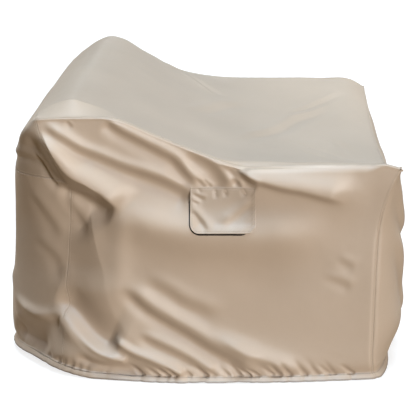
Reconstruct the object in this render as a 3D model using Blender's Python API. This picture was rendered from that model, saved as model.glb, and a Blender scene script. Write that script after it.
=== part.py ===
"""Fitted cover for a two-seat outdoor sofa, open below, in the shape in which it hangs.

Metres, +Z up, floor at Z = 0. X runs along the sofa: the near end, with the air vent,
is at -X. +Y is the sofa's back. The cover is a shell of sewn panels, each a thin sheet.
One smooth surface is worked out first, as four walls and a top, each a grid of points.
The panels are then cut from that surface, so that they meet along its seams.
"""

import math

import bmesh
import bpy
import numpy as np
from mathutils import Vector
from mathutils.bvhtree import BVHTree

# Driving sizes
SHEET = 0.002            # coated cloth with its turned seams
SEAM_GAP = 0.0003        # between one panel and the next
HALF_LENGTH = 0.67       # from the middle of the sofa to the plane of an end panel
FRONT_EDGE = -0.462      # Y of the top's front edge
BACK_EDGE = 0.527        # Y of the top's back edge
CREST_INSET = 0.061      # how far in from an end seam the backrest reaches its full height
BELLY_POWER = 7          # how fast the front swells out from its corners
SADDLE_POWER = 2.5       # how fast the top falls from the arms to the seat between them
ORIGIN_Y = 0.0703        # the footprint's middle, in the coordinates of the tables below

# Grids, in even numbers: outside their fine columns they use every second point
COLUMNS_LONG = 42        # along the back and the front
COLUMNS_DEEP = 48        # across an end panel
ROWS = 32                # from hem to top edge
CROSS_SEAM_ROW = 24      # where the top's overhang is sewn to the back skirt
FINE_AT_REAR_CORNER = 10  # columns of the back that carry the near corner's folds
FINE_AT_FRONT_CORNER = 8
FINE_AT_CREST = 2        # columns of the top behind the near end seam
OUTLINE_SAMPLES = 400    # points of a plan outline before it is spaced evenly

# Plan of the skirt at several levels, from the hem (drop 0) to the top edge (drop 1):
# the end's plane and its outward bow, the front corner and the bow of the front between
# its corners, the back's plane, the rear corner's rounding along X and Y, and the rear
# corner seam, which lies on the end.
LEVEL_COLUMNS = ("drop", "end", "bow", "front", "belly", "back", "round_x", "round_y", "seam")
LEVELS = np.array((
    (0.00, 0.655, 0.047, -0.415, 0.045, 0.640, 0.360, 0.515, 0.461),
    (0.07, 0.662, 0.030, -0.406, 0.066, 0.645, 0.330, 0.470, 0.461),
    (0.20, 0.666, 0.014, -0.404, 0.098, 0.640, 0.280, 0.380, 0.460),
    (0.42, 0.668, 0.006, -0.403, 0.088, 0.621, 0.230, 0.310, 0.458),
    (0.60, 0.668, 0.003, -0.404, 0.088, 0.613, 0.200, 0.260, 0.454),
    (0.75, 0.666, 0.002, -0.408, 0.086, 0.606, 0.170, 0.210, 0.449),
    (0.85, 0.668, 0.001, -0.420, 0.070, 0.590, 0.110, 0.140, 0.476),
    (0.93, 0.670, 0.000, -0.438, 0.044, 0.567, 0.050, 0.070, 0.508),
    (1.00, 0.670, 0.000, FRONT_EDGE, 0.0, BACK_EDGE, 0.012, 0.014, 0.522),
))

# Height of the top across its depth, at both end seams, just inside them and at mid length
TOP_COLUMNS = ("y", "near_seam", "near", "middle", "far", "far_seam")
TOP = np.array((
    (FRONT_EDGE, 0.596, 0.597, 0.506, 0.588, 0.586),
    (-0.430, 0.612, 0.613, 0.514, 0.620, 0.618),
    (-0.300, 0.618, 0.618, 0.532, 0.631, 0.629),
    (-0.100, 0.614, 0.615, 0.576, 0.631, 0.629),
    (-0.007, 0.618, 0.620, 0.606, 0.632, 0.630),
    (0.100, 0.655, 0.656, 0.648, 0.642, 0.640),
    (0.200, 0.695, 0.696, 0.692, 0.668, 0.662),
    (0.315, 0.740, 0.744, 0.746, 0.733, 0.722),
    (0.390, 0.741, 0.774, 0.782, 0.780, 0.742),
    (0.430, 0.741, 0.786, 0.792, 0.786, 0.742),
    (0.470, 0.740, 0.776, 0.781, 0.770, 0.738),
    (BACK_EDGE, 0.737, 0.740, 0.749, 0.728, 0.722),
))

# Where the hem lifts off the floor: the rear corners stand out and carry it up
HEM_LIFT = 0.030
HEM_LIFT_FROM = 0.25     # Y on an end where the lift starts
HEM_LIFT_FULL = 0.56     # Y where it is complete
HEM_LIFT_BACK = 0.008    # what is left of it at the middle of the back

# Folds: a row for each, with its wall, its width, how far it stands out (or in, if
# negative), and the points it passes through. Points are (across, Z), where across is Y
# on the ends, run on past the rear corners by length along the cloth, and X elsewhere.
FOLDS_FADE = 0.125       # share of the drop over which folds die out under the top edge
FOLD_END = 0.25          # share of a fold's length over which it dies out at each end
FOLDS = (
    ("drag below slope, long", "near", 0.017, -0.013,
     ((0.49, 0.692), (0.40, 0.640), (0.33, 0.608), (0.25, 0.584), (0.18, 0.558), (0.11, 0.520))),
    ("drag below slope, upper", "near", 0.016, -0.009,
     ((0.33, 0.720), (0.29, 0.688), (0.22, 0.650), (0.15, 0.612), (0.11, 0.565))),
    ("drag to vent", "near", 0.015, -0.007, ((0.13, 0.630), (0.00, 0.565))),
    ("roll under arm top", "near", 0.014, 0.007,
     ((0.02, 0.600), (-0.08, 0.585), (-0.20, 0.562), (-0.33, 0.548))),
    ("drag under arm top", "near", 0.014, -0.009,
     ((-0.01, 0.590), (-0.07, 0.553), (-0.15, 0.535), (-0.26, 0.512), (-0.32, 0.508))),
    ("shallow below vent", "near", 0.028, -0.006, ((0.10, 0.395), (-0.22, 0.405))),
    ("long ridge to hem", "near", 0.016, 0.010,
     ((0.26, 0.265), (0.146, 0.184), (0.041, 0.123), (-0.10, 0.075))),
    ("hollow over it", "near", 0.016, -0.007, ((0.23, 0.290), (0.05, 0.195))),
    ("hollow under it", "near", 0.015, -0.009,
     ((0.28, 0.235), (0.20, 0.175), (0.11, 0.110), (0.00, 0.050))),
    ("short ridge", "near", 0.013, 0.008, ((0.19, 0.122), (0.094, 0.067), (0.02, 0.015))),
    ("hollow by short ridge", "near", 0.014, -0.009, ((0.30, 0.115), (0.21, 0.082), (0.12, 0.040))),
    ("thrown ridge of rear corner", "near", 0.018, 0.022,
     ((0.64, 0.200), (0.50, 0.196), (0.432, 0.181), (0.391, 0.147), (0.35, 0.100), (0.28, 0.045))),
    ("branch of thrown ridge", "near", 0.014, 0.009, ((0.50, 0.165), (0.39, 0.090))),
    ("pocket under thrown ridge", "near", 0.016, -0.012, ((0.37, 0.115), (0.27, 0.055))),
    ("hollow of rear corner", "near", 0.026, -0.022, ((0.60, 0.070), (0.50, 0.135))),
    ("dent near front corner", "near", 0.020, -0.005, ((-0.30, 0.400), (-0.34, 0.280))),
    ("front drag from near arm", "front", 0.026, -0.012, ((-0.60, 0.50), (-0.42, 0.30), (-0.30, 0.08))),
    ("front ridge from near arm", "front", 0.028, 0.014, ((-0.52, 0.50), (-0.32, 0.30), (-0.18, 0.05))),
    ("front swag", "front", 0.030, -0.012, ((-0.22, 0.42), (0.00, 0.34), (0.24, 0.42))),
    ("front ridge from far arm", "front", 0.028, 0.013, ((0.54, 0.50), (0.36, 0.28), (0.26, 0.04))),
    ("front hem flute", "front", 0.030, 0.014, ((0.05, 0.22), (0.08, 0.00))),
    ("back flute, near", "back", 0.032, 0.013, ((-0.34, 0.50), (-0.28, 0.25), (-0.30, 0.02))),
    ("back hollow, near", "back", 0.030, -0.012, ((-0.20, 0.46), (-0.16, 0.20), (-0.14, 0.02))),
    ("back drag under crest", "back", 0.026, -0.010, ((-0.46, 0.66), (-0.20, 0.60), (0.10, 0.62))),
    ("back flute, middle", "back", 0.034, 0.012, ((0.06, 0.42), (0.02, 0.20), (0.04, 0.02))),
    ("back hollow, far", "back", 0.030, -0.011, ((0.26, 0.50), (0.22, 0.25), (0.24, 0.02))),
    ("far drag below slope", "far", 0.020, -0.012, ((0.47, 0.690), (0.32, 0.620), (0.14, 0.540))),
    ("far ridge to hem", "far", 0.020, 0.012, ((0.30, 0.300), (0.16, 0.180), (-0.04, 0.070))),
    ("far hollow to hem", "far", 0.020, -0.010, ((0.34, 0.230), (0.22, 0.140), (0.06, 0.040))),
    ("far drag under arm top", "far", 0.018, -0.008, ((-0.02, 0.590), (-0.18, 0.535), (-0.32, 0.515))),
)

# The corner lip: below this line on the end the cloth falls back sharply
LIP_LINE = ((0.527, 0.737), (0.447, 0.602), (0.386, 0.559), (0.340, 0.530), (0.290, 0.480))
LIP_OUT = 0.028          # how far the cloth stands out at the lip
LIP_IN = 0.020           # how far it is tucked in below it
LIP_DROP = 0.028         # over what height it falls back
LIP_FADE_ABOVE = 0.055
LIP_FADE_BELOW = 0.040
LIP_START = 0.20         # share of its length over which it rises at the top corner
LIP_END = 0.33           # and dies out at its tip

# Creases of the top, in plan: width, height, and points (X, Y)
CREASE_FADE = 0.2        # share of the top's width over which they rise from its edges
TOP_FOLDS = (
    (0.030, -0.010, ((-0.40, 0.16), (-0.10, 0.02), (0.20, -0.16), (0.44, -0.34))),
    (0.028, 0.007, ((-0.32, 0.24), (0.00, 0.10), (0.30, -0.08), (0.56, -0.26))),
    (0.024, -0.006, ((0.10, 0.30), (0.42, 0.20), (0.60, 0.12))),
    (0.030, -0.006, ((-0.50, -0.30), (-0.20, -0.36), (0.10, -0.38))),
)

# Air vent on the near end
VENT_Y = 0.017 - ORIGIN_Y
FLAP_WIDTH = 0.178
FLAP_TOP_Z = 0.551
FLAP_HEIGHT = 0.126
FLAP_CORNER = 0.028
FLAP_STAND_OUT = 0.009   # how far the loose lower edge stands off the panel
FLAP_LIFT_POWER = 0.7    # how fast it leaves the panel below its sewn top
FLAP_COLUMNS = 12
FLAP_ROWS = 7
FLAP_ROWS_CROWD = 0.8    # rows lie closer together towards its round corners
WINDOW_Y = VENT_Y + 0.0075  # the window shows past the flap's loose edge at the rear and below
WINDOW_WIDTH = 0.168
WINDOW_HEIGHT = 0.113
WINDOW_TOP_Z = 0.5355
WINDOW_CORNER = 0.030
MESH_MARGIN = 0.010      # how far the mesh laps over the window's edge, inside
MESH_THICKNESS = 0.001
MESH_COLUMNS = 12
MESH_ROWS = 8
WINDOW_CORNER_STEPS = 4
CUTTER_REACH = 0.15      # half the depth of the plate that cuts the window

PANELS = ("top_panel", "near_end_panel", "far_end_panel", "back_skirt", "front_skirt")
# The points round a block of two by two cells of a grid, in order
BLOCK_RING = ((0, 0), (0, 1), (0, 2), (1, 2), (2, 2), (2, 1), (2, 0), (1, 0))
WELD = 1e-6              # points of neighbouring grids closer than this are one
STEEPEST_MITRE = 1.6     # most by which the inner side steps back further at a sharp edge
LEAST_FACING = 0.5       # keeps the step back from a seam small where the seam is a sharp edge
FIT_REACH = 0.006        # how far around a place the vent's pieces look for a high spot
CLEAR_OF_END = 1.0       # how far outside the end that search starts
SHARP_ANGLE = 50         # degrees between faces above which an edge is shaded sharp

# Colour and roughness of each cloth
CLOTH_END = ((0.68, 0.61, 0.53), 0.62)
CLOTH_TOP = ((0.60, 0.56, 0.49), 0.60)
MESH_DARK = ((0.05, 0.045, 0.04), 0.80)


def smooth_curve(at, knots, values):
    """A cubic curve through a table's rows, read at one or many places."""
    slopes = np.gradient(values, knots)
    left = np.clip(np.searchsorted(knots, at) - 1, 0, len(knots) - 2)
    span = knots[left + 1] - knots[left]
    f = np.clip((at - knots[left]) / span, 0.0, 1.0)
    start = (1 + 2 * f) * (1 - f) ** 2 * values[left] + f * (1 - f) ** 2 * span * slopes[left]
    end = f**2 * (3 - 2 * f) * values[left + 1] + f**2 * (f - 1) * span * slopes[left + 1]
    return start + end


def smooth_step(value):
    value = np.clip(value, 0.0, 1.0)
    return value * value * (3 - 2 * value)


def level_at(drop):
    return {
        name: float(smooth_curve(drop, LEVELS[:, 0], LEVELS[:, column]))
        for column, name in enumerate(LEVEL_COLUMNS)
    }


def top_height(x, y):
    """Height of the top over a point of the plan, before its creases."""
    read = {
        name: smooth_curve(y, TOP[:, 0], TOP[:, column])
        for column, name in enumerate(TOP_COLUMNS)
    }
    along = np.clip((x + HALF_LENGTH) / (2 * HALF_LENGTH), 0.0, 1.0)
    ends = read["near"] * (1 - along) + read["far"] * along
    middle_share = 1 - np.clip(np.abs(x) / HALF_LENGTH, 0.0, 1.0) ** SADDLE_POWER
    height = ends * (1 - middle_share) + read["middle"] * middle_share
    from_near = np.clip((x + HALF_LENGTH) / CREST_INSET, 0.0, 1.0)
    from_far = np.clip((HALF_LENGTH - x) / CREST_INSET, 0.0, 1.0)
    height += (read["near_seam"] - read["near"]) * (1 - from_near)
    height += (read["far_seam"] - read["far"]) * (1 - from_far)
    return height


def spaced_evenly(outline, columns):
    """Points along an outline, equally far apart."""
    steps = np.linalg.norm(np.diff(outline, axis=0), axis=1)
    run = np.concatenate(([0.0], np.cumsum(steps)))
    at = np.linspace(0.0, run[-1], columns + 1)
    return np.stack((np.interp(at, run, outline[:, 0]), np.interp(at, run, outline[:, 1])), axis=1)


def rear_rounding(level, y):
    """How far the end has turned in at Y on its way round the rear corner."""
    start = level["back"] - level["round_y"]
    share = np.clip((y - start) / level["round_y"], 0.0, 1.0)
    return level["round_x"] * (1 - np.sqrt(1 - share**2))


def near_outline(level):
    """Plan of the near end at a level, from the rear corner seam to the front corner."""
    y = np.linspace(level["seam"], level["front"], OUTLINE_SAMPLES)
    bow_start = level["back"] - level["round_y"]
    off_middle = np.clip((bow_start - y) / (bow_start - level["front"]), 0.0, 1.0)
    x = -level["end"] - level["bow"] * (1 - off_middle**2) + rear_rounding(level, y)
    return np.stack((x, y), axis=1)


def back_outline(level):
    """Plan of the back at a level, from one rear corner seam round to the other."""
    start = math.asin(np.clip((level["seam"] - level["back"]) / level["round_y"] + 1, 0.0, 1.0))
    turn = np.linspace(start, math.pi / 2, OUTLINE_SAMPLES)
    x = -level["end"] - level["bow"] + level["round_x"] * (1 - np.cos(turn))
    y = level["back"] - level["round_y"] * (1 - np.sin(turn))
    corner = np.stack((x, y), axis=1)
    far_corner = corner[::-1] * (-1, 1)
    return np.concatenate((corner, far_corner))


def front_outline(level):
    """Plan of the front at a level, from the near corner to the far one."""
    along = np.linspace(-1.0, 1.0, OUTLINE_SAMPLES)
    x = level["end"] * along
    y = level["front"] - level["belly"] * (1 - np.abs(along) ** BELLY_POWER)
    return np.stack((x, y), axis=1)


def outward_in_plan(row):
    """Unit normals of a row of plan points, pointing away from the middle of the sofa."""
    tangent = np.gradient(row, axis=0)
    normal = np.stack((tangent[:, 1], -tangent[:, 0]), axis=1)
    normal /= np.linalg.norm(normal, axis=1, keepdims=True)
    return normal if np.sum(normal * row) > 0 else -normal


def to_line(across, up, points):
    """Distance of places to a line through points, its side, and the share run along it."""
    points = np.array(points)
    lengths = np.linalg.norm(np.diff(points, axis=0), axis=1)
    total = lengths.sum()
    nearest = np.full(np.shape(across), np.inf)
    side = np.zeros(np.shape(across))
    share = np.zeros(np.shape(across))
    done = 0.0
    for start, end, length in zip(points[:-1], points[1:], lengths):
        along = (end - start) / length
        da, du = across - start[0], up - start[1]
        run = np.clip(da * along[0] + du * along[1], 0.0, length)
        distance = np.hypot(da - run * along[0], du - run * along[1])
        closer = distance < nearest
        nearest = np.where(closer, distance, nearest)
        side = np.where(closer, np.sign(along[0] * du - along[1] * da), side)
        share = np.where(closer, (done + run) / total, share)
        done += length
    return nearest, side, share


def fold_height(across, up, width, height, points):
    """A soft ridge or trough along a line, fading out at both ends."""
    distance, _, share = to_line(across, up, points)
    fade = smooth_step(share / FOLD_END) * smooth_step((1 - share) / FOLD_END)
    return height * fade * np.exp(-((distance / width) ** 2))


def lip_height(across, up):
    """The overhanging lip: cloth standing out above its line and tucked in below it."""
    distance, side, share = to_line(across, up, LIP_LINE)
    below = np.where(side < 0, 0.0, distance)
    out = LIP_OUT * np.exp(-((np.where(side < 0, distance, 0.0) / LIP_FADE_ABOVE) ** 2))
    tuck = -LIP_IN * np.exp(-((np.maximum(0.0, below - LIP_DROP) / LIP_FADE_BELOW) ** 2))
    fallen = smooth_step(below / LIP_DROP)
    fade = smooth_step(share / LIP_START) * smooth_step((1 - share) / LIP_END)
    return fade * (out * (1 - fallen) + tuck * fallen)


def folds_of(wall, across, up):
    total = np.zeros(np.shape(across))
    for _, on, width, height, points in FOLDS:
        if on == wall:
            total += fold_height(across, up, width, height, points)
    return total


def hem_height(x, y):
    lift = smooth_step((y - HEM_LIFT_FROM) / (HEM_LIFT_FULL - HEM_LIFT_FROM))
    towards_middle = np.clip(1 - (x / HALF_LENGTH) ** 2, 0.0, 1.0)
    return lift * (HEM_LIFT - (HEM_LIFT - HEM_LIFT_BACK) * towards_middle)


def wall_grid(outline, columns, offset_of):
    """Rows of points from hem to top edge, each row along one level's outline."""
    edge = spaced_evenly(outline(level_at(1.0)), columns)
    edge_z = top_height(edge[:, 0], edge[:, 1])
    rows = []
    for drop in np.linspace(0.0, 1.0, ROWS + 1):
        plan = spaced_evenly(outline(level_at(drop)), columns)
        hem_z = hem_height(plan[:, 0], plan[:, 1])
        z = hem_z + (edge_z - hem_z) * drop
        offset = offset_of(plan, z) * smooth_step((1 - drop) / FOLDS_FADE)
        plan = plan + outward_in_plan(plan) * offset[:, None]
        rows.append(np.column_stack((plan, z)))
    return np.array(rows)


def run_from_seam(plan):
    """Length along the back's outline from a rear corner seam, counted on from its Y."""
    steps = np.linalg.norm(np.diff(plan, axis=0), axis=1)
    return plan[0, 1] + np.concatenate(([0.0], np.cumsum(steps)))


def near_offset(plan, z):
    return folds_of("near", plan[:, 1], z) + lip_height(plan[:, 1], z)


def far_offset(plan, z):
    return folds_of("far", plan[:, 1], z) + lip_height(plan[:, 1], z)


def front_offset(plan, z):
    return folds_of("front", plan[:, 0], z)


def back_offset(plan, z):
    from_near = run_from_seam(plan)
    from_far = run_from_seam(plan[::-1])[::-1]
    offset = folds_of("back", plan[:, 0], z)
    offset += folds_of("near", from_near, z) + lip_height(from_near, z)
    offset += folds_of("far", from_far, z) + lip_height(from_far, z)
    return offset


def top_grid(near, far, front, back):
    """The top between the four walls' upper edges: first index along X, second from the back."""
    u = np.linspace(0.0, 1.0, COLUMNS_LONG + 1)[:, None, None]
    v = np.linspace(0.0, 1.0, COLUMNS_DEEP + 1)[None, :, None]
    sides = back[:, None] * (1 - v) + front[:, None] * v
    ends = near[None] * (1 - u) + far[None] * u
    corners = (
        (near[0] * (1 - v) + near[-1] * v) * (1 - u)
        + (far[0] * (1 - v) + far[-1] * v) * u
    )
    grid = sides + ends - corners
    x, y = grid[..., 0], grid[..., 1]
    off_edge = smooth_step(np.minimum(u, 1 - u) / CREASE_FADE)
    off_edge = off_edge * smooth_step(np.minimum(v, 1 - v) / CREASE_FADE)
    creases = sum(fold_height(x, y, width, height, points) for width, height, points in TOP_FOLDS)
    z = top_height(x, y) + creases * off_edge[..., 0]
    z[0], z[-1], z[:, 0], z[:, -1] = near[:, 2], far[:, 2], back[:, 2], front[:, 2]
    return np.stack((x, y, z), axis=-1)


def share_edges(near, far, front, back):
    """Gives walls that meet at a corner seam the same points there."""
    for one, other in (
        (near[:, 0], back[:, 0]),
        (far[:, 0], back[:, -1]),
        (near[:, -1], front[:, 0]),
        (far[:, -1], front[:, -1]),
    ):
        middle = (one + other) / 2
        one[:] = middle
        other[:] = middle


def block_cells(row, column):
    """The four single cells of a block of two by two."""
    return [(row + r, column + c) for r in (0, 1) for c in (0, 1)]


def add_grid(surface, points, panel, fine_columns):
    """Adds a grid to the whole surface, marked with its panel's number.

    Blocks outside the fine columns become one face each, which keeps the points that
    lie on the grid's edge or beside the fine part.
    """
    last_row, last_column = len(points) - 1, len(points[0]) - 1
    verts = {}

    def vert(row, column):
        if (row, column) not in verts:
            verts[row, column] = surface.verts.new(points[row][column])
        return verts[row, column]

    def kept(row, column):
        on_corner = row % 2 == 0 and column % 2 == 0
        on_edge = row in (0, last_row) or column in (0, last_column)
        return on_corner or on_edge or column <= fine_columns

    for row in range(0, last_row, 2):
        for column in range(0, last_column, 2):
            if column < fine_columns:
                rings = [((r, c), (r, c + 1), (r + 1, c + 1), (r + 1, c)) for r, c in block_cells(row, column)]
            else:
                block = [(row + r, column + c) for r, c in BLOCK_RING]
                rings = [[place for place in block if kept(*place)]]
            for ring in rings:
                surface.faces.new([vert(r, c) for r, c in ring]).material_index = panel


def whole_surface():
    near = wall_grid(near_outline, COLUMNS_DEEP, near_offset)
    far = wall_grid(lambda level: near_outline(level) * (-1, 1), COLUMNS_DEEP, far_offset)
    front = wall_grid(front_outline, COLUMNS_LONG, front_offset)
    back = wall_grid(back_outline, COLUMNS_LONG, back_offset)
    share_edges(near, far, front, back)
    top = top_grid(near[-1], far[-1], front[-1], back[-1])
    patches = (
        ("near_end_panel", near, COLUMNS_DEEP),
        ("far_end_panel", far, 0),
        ("front_skirt", front, FINE_AT_FRONT_CORNER),
        ("back_skirt", back[: CROSS_SEAM_ROW + 1], FINE_AT_REAR_CORNER),
        ("top_panel", back[CROSS_SEAM_ROW:], FINE_AT_REAR_CORNER),
        ("top_panel", top.swapaxes(0, 1), FINE_AT_CREST),
    )
    surface = bmesh.new()
    for name, points, fine_columns in patches:
        add_grid(surface, points - (0.0, ORIGIN_Y, 0.0), PANELS.index(name), fine_columns)
    bmesh.ops.remove_doubles(surface, verts=surface.verts, dist=WELD)
    bmesh.ops.recalc_face_normals(surface, faces=surface.faces)
    surface.verts.index_update()
    return surface


def seam_shift(vert, faces):
    """How a panel's corner point steps back from a seam, to leave its half of the gap."""
    if len(faces) == len(vert.link_faces):
        return Vector()
    inward = Vector()
    lean = Vector()
    for face in faces:
        inward += (face.calc_center_median() - vert.co).normalized()
        lean += face.normal
    inward -= vert.normal * inward.dot(vert.normal)
    facing = max(LEAST_FACING, lean.normalized().dot(vert.normal))
    return inward.normalized() * (SEAM_GAP / 2 / facing)


def inner_point(vert):
    """The point of the sheet's inner side under a point of the surface."""
    point = vert.co - vert.normal * SHEET * min(STEEPEST_MITRE, vert.calc_shell_factor())
    point.z = max(0.0, point.z)
    return point


def cut_panel(surface, panel):
    """One panel as a closed sheet: its outer faces, inner faces and rim."""
    faces = [face for face in surface.faces if face.material_index == panel]
    around = {}
    for face in faces:
        for vert in face.verts:
            around.setdefault(vert, []).append(face)
    sheet = bmesh.new()
    outer, inner = {}, {}
    for vert, own in around.items():
        shift = seam_shift(vert, own)
        outer[vert] = sheet.verts.new(vert.co + shift)
        inner[vert] = sheet.verts.new(inner_point(vert) + shift)
    for face in faces:
        sheet.faces.new([outer[vert] for vert in face.verts])
        sheet.faces.new([inner[vert] for vert in reversed(face.verts)])
        for loop in face.loops:
            start, end = loop.vert, loop.link_loop_next.vert
            if sum(other.material_index == panel for other in loop.edge.link_faces) == 1:
                sheet.faces.new((outer[end], outer[start], inner[start], inner[end]))
    return sheet


def end_trees(surface):
    """The near end's outer and inner sides, for finding their X at a place."""
    panel = PANELS.index("near_end_panel")
    faces = [
        [vert.index for vert in face.verts] for face in surface.faces if face.material_index == panel
    ]
    outer = BVHTree.FromPolygons([vert.co for vert in surface.verts], faces)
    inner = BVHTree.FromPolygons([inner_point(vert) for vert in surface.verts], faces)
    return outer, inner


def end_x(tree, y, z, pick):
    """X of a side of the near end around a place: pick is min or max over a small reach."""
    steps = (-FIT_REACH, 0.0, FIT_REACH)
    start = HALF_LENGTH + CLEAR_OF_END
    hits = [
        tree.ray_cast(Vector((-start, y + dy, z + dz)), Vector((1.0, 0.0, 0.0)))[0].x
        for dy in steps
        for dz in steps
    ]
    return pick(hits)


def half_width(width, height, corner, down):
    """Half the width of a rectangle with round lower corners, at a depth below its top."""
    into = max(0.0, down - (height - corner))
    return width / 2 - corner + math.sqrt(max(0.0, corner**2 - into**2))


def slab(outer, inner):
    """A closed sheet between two grids of points of one size."""
    mesh = bmesh.new()
    sides = []
    for grid in (outer, inner):
        verts = [[mesh.verts.new(point) for point in row] for row in grid]
        for upper, lower in zip(verts[:-1], verts[1:]):
            for corners in zip(upper[:-1], upper[1:], lower[1:], lower[:-1]):
                mesh.faces.new(corners)
        right = [row[-1] for row in verts[1:-1]]
        left = [row[0] for row in verts[-2:0:-1]]
        sides.append(verts[0] + right + verts[-1][::-1] + left)
    bmesh.ops.recalc_face_normals(mesh, faces=mesh.faces)
    for start, (one, other) in enumerate(zip(*sides)):
        mesh.faces.new((sides[0][start - 1], one, other, sides[1][start - 1]))
    return mesh


def flap_sheet(outer_tree):
    """The vent's flap: sewn along its top, its lower edge standing a little off."""
    outer, inner = [], []
    for row in range(FLAP_ROWS + 1):
        down = FLAP_HEIGHT * (row / FLAP_ROWS) ** FLAP_ROWS_CROWD
        reach = half_width(FLAP_WIDTH, FLAP_HEIGHT, FLAP_CORNER, down)
        stand_out = SEAM_GAP + FLAP_STAND_OUT * (down / FLAP_HEIGHT) ** FLAP_LIFT_POWER
        outer_row, inner_row = [], []
        for column in range(FLAP_COLUMNS + 1):
            y = VENT_Y + reach * (1 - 2 * column / FLAP_COLUMNS)
            z = FLAP_TOP_Z - down
            x = end_x(outer_tree, y, z, min) - stand_out
            inner_row.append((x, y, z))
            outer_row.append((x - SHEET, y, z))
        outer.append(outer_row)
        inner.append(inner_row)
    return slab(outer, inner)


def mesh_sheet(inner_tree):
    """The vent's mesh, sewn inside the window with its edges lapped over the cloth."""
    width = WINDOW_WIDTH + 2 * MESH_MARGIN
    height = WINDOW_HEIGHT + 2 * MESH_MARGIN
    outer, inner = [], []
    for row in range(MESH_ROWS + 1):
        outer_row, inner_row = [], []
        for column in range(MESH_COLUMNS + 1):
            y = WINDOW_Y + width * (0.5 - column / MESH_COLUMNS)
            z = WINDOW_TOP_Z + MESH_MARGIN - height * row / MESH_ROWS
            x = end_x(inner_tree, y, z, max) + SEAM_GAP
            outer_row.append((x, y, z))
            inner_row.append((x + MESH_THICKNESS, y, z))
        outer.append(outer_row)
        inner.append(inner_row)
    return slab(outer, inner)


def window_cutter():
    """A plate with round corners, set through the near end where the vent's window goes."""
    mesh = bmesh.new()
    middle_z = WINDOW_TOP_Z - WINDOW_HEIGHT / 2
    corners = []
    for quarter in range(4):
        side_y = 1 if quarter in (0, 3) else -1
        side_z = 1 if quarter in (0, 1) else -1
        for step in range(WINDOW_CORNER_STEPS + 1):
            turn = math.pi / 2 * (quarter + step / WINDOW_CORNER_STEPS)
            y = WINDOW_Y + side_y * (WINDOW_WIDTH / 2 - WINDOW_CORNER) + WINDOW_CORNER * math.cos(turn)
            z = middle_z + side_z * (WINDOW_HEIGHT / 2 - WINDOW_CORNER) + WINDOW_CORNER * math.sin(turn)
            corners.append(mesh.verts.new((-HALF_LENGTH - CUTTER_REACH, y, z)))
    plate = mesh.faces.new(corners)
    pushed = bmesh.ops.extrude_face_region(mesh, geom=[plate])
    moved = [item for item in pushed["geom"] if isinstance(item, bmesh.types.BMVert)]
    bmesh.ops.translate(mesh, verts=moved, vec=(2 * CUTTER_REACH, 0.0, 0.0))
    return mesh


def material(name, colour, roughness):
    finish = bpy.data.materials.new(name)
    finish.use_nodes = True
    shader = finish.node_tree.nodes["Principled BSDF"]
    shader.inputs["Base Color"].default_value = (*colour, 1.0)
    shader.inputs["Roughness"].default_value = roughness
    shader.inputs["Metallic"].default_value = 0.0
    return finish


def place(name, mesh, finish=None):
    """Puts a mesh in the scene as a named object with smooth shading."""
    bmesh.ops.recalc_face_normals(mesh, faces=mesh.faces)
    for face in mesh.faces:
        face.material_index = 0
    data = bpy.data.meshes.new(name)
    mesh.to_mesh(data)
    mesh.free()
    data.shade_smooth()
    data.set_sharp_from_angle(angle=math.radians(SHARP_ANGLE))
    if finish:
        data.materials.append(finish)
    piece = bpy.data.objects.new(name, data)
    bpy.context.scene.collection.objects.link(piece)
    return piece


def build_cover():
    finishes = {
        "top_panel": material("cloth_top", *CLOTH_TOP),
        "near_end_panel": material("cloth_near_end", *CLOTH_END),
        "far_end_panel": material("cloth_far_end", *CLOTH_END),
        "back_skirt": material("cloth_back", *CLOTH_END),
        "front_skirt": material("cloth_front", *CLOTH_END),
    }
    surface = whole_surface()
    panels = {
        name: place(name, cut_panel(surface, number), finishes[name])
        for number, name in enumerate(PANELS)
    }
    outer_tree, inner_tree = end_trees(surface)
    place("vent_flap", flap_sheet(outer_tree), material("cloth_flap", *CLOTH_END))
    place("vent_mesh", mesh_sheet(inner_tree), material("mesh_dark", *MESH_DARK))
    surface.free()

    cutter = place("window_cutter", window_cutter())
    cutter.hide_render = True
    cutter.display_type = "WIRE"
    window = panels["near_end_panel"].modifiers.new("vent window", "BOOLEAN")
    window.operation = "DIFFERENCE"
    window.object = cutter


for leftover in list(bpy.data.objects):
    bpy.data.objects.remove(leftover)
build_cover()
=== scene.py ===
"""Looks of a fitted cover for a two-seat outdoor sofa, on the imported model's frame.

Metres, +Z up, the end with the air vent at -X, the sofa's back at +Y. Each panel is a thin
sheet of coated woven cloth in a fine mesh. It lies on its solid's folds and adds the finer
folds, the rounded edges, the seams with their stitches and puckers, and the turned hem.
"""

import math

import bpy
import numpy as np
from mathutils import Matrix, Vector
from mathutils.bvhtree import BVHTree


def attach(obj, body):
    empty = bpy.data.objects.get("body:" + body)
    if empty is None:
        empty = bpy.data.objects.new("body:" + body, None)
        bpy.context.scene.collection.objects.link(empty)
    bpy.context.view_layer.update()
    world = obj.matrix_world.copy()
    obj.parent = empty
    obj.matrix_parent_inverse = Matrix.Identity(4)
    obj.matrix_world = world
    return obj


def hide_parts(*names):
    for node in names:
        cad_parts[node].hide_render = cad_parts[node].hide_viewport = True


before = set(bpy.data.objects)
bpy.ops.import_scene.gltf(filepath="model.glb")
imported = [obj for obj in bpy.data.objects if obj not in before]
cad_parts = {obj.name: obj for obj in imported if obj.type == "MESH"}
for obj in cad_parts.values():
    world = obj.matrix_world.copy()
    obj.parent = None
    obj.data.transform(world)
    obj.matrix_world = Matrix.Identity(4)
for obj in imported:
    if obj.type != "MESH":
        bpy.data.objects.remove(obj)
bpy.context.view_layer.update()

# Sizes of the cover, in the coordinates of the tables below
HALF_LENGTH = 0.67
FRONT_EDGE = -0.468
BACK_EDGE = 0.527
CREST_INSET = 0.061
BELLY_POWER = 7
SADDLE_POWER = 2.5
ORIGIN_Y = 0.0703        # the footprint's middle, in those coordinates
INSIDE = (0.0, 0.0, 0.25)  # a place well inside the cover
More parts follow.
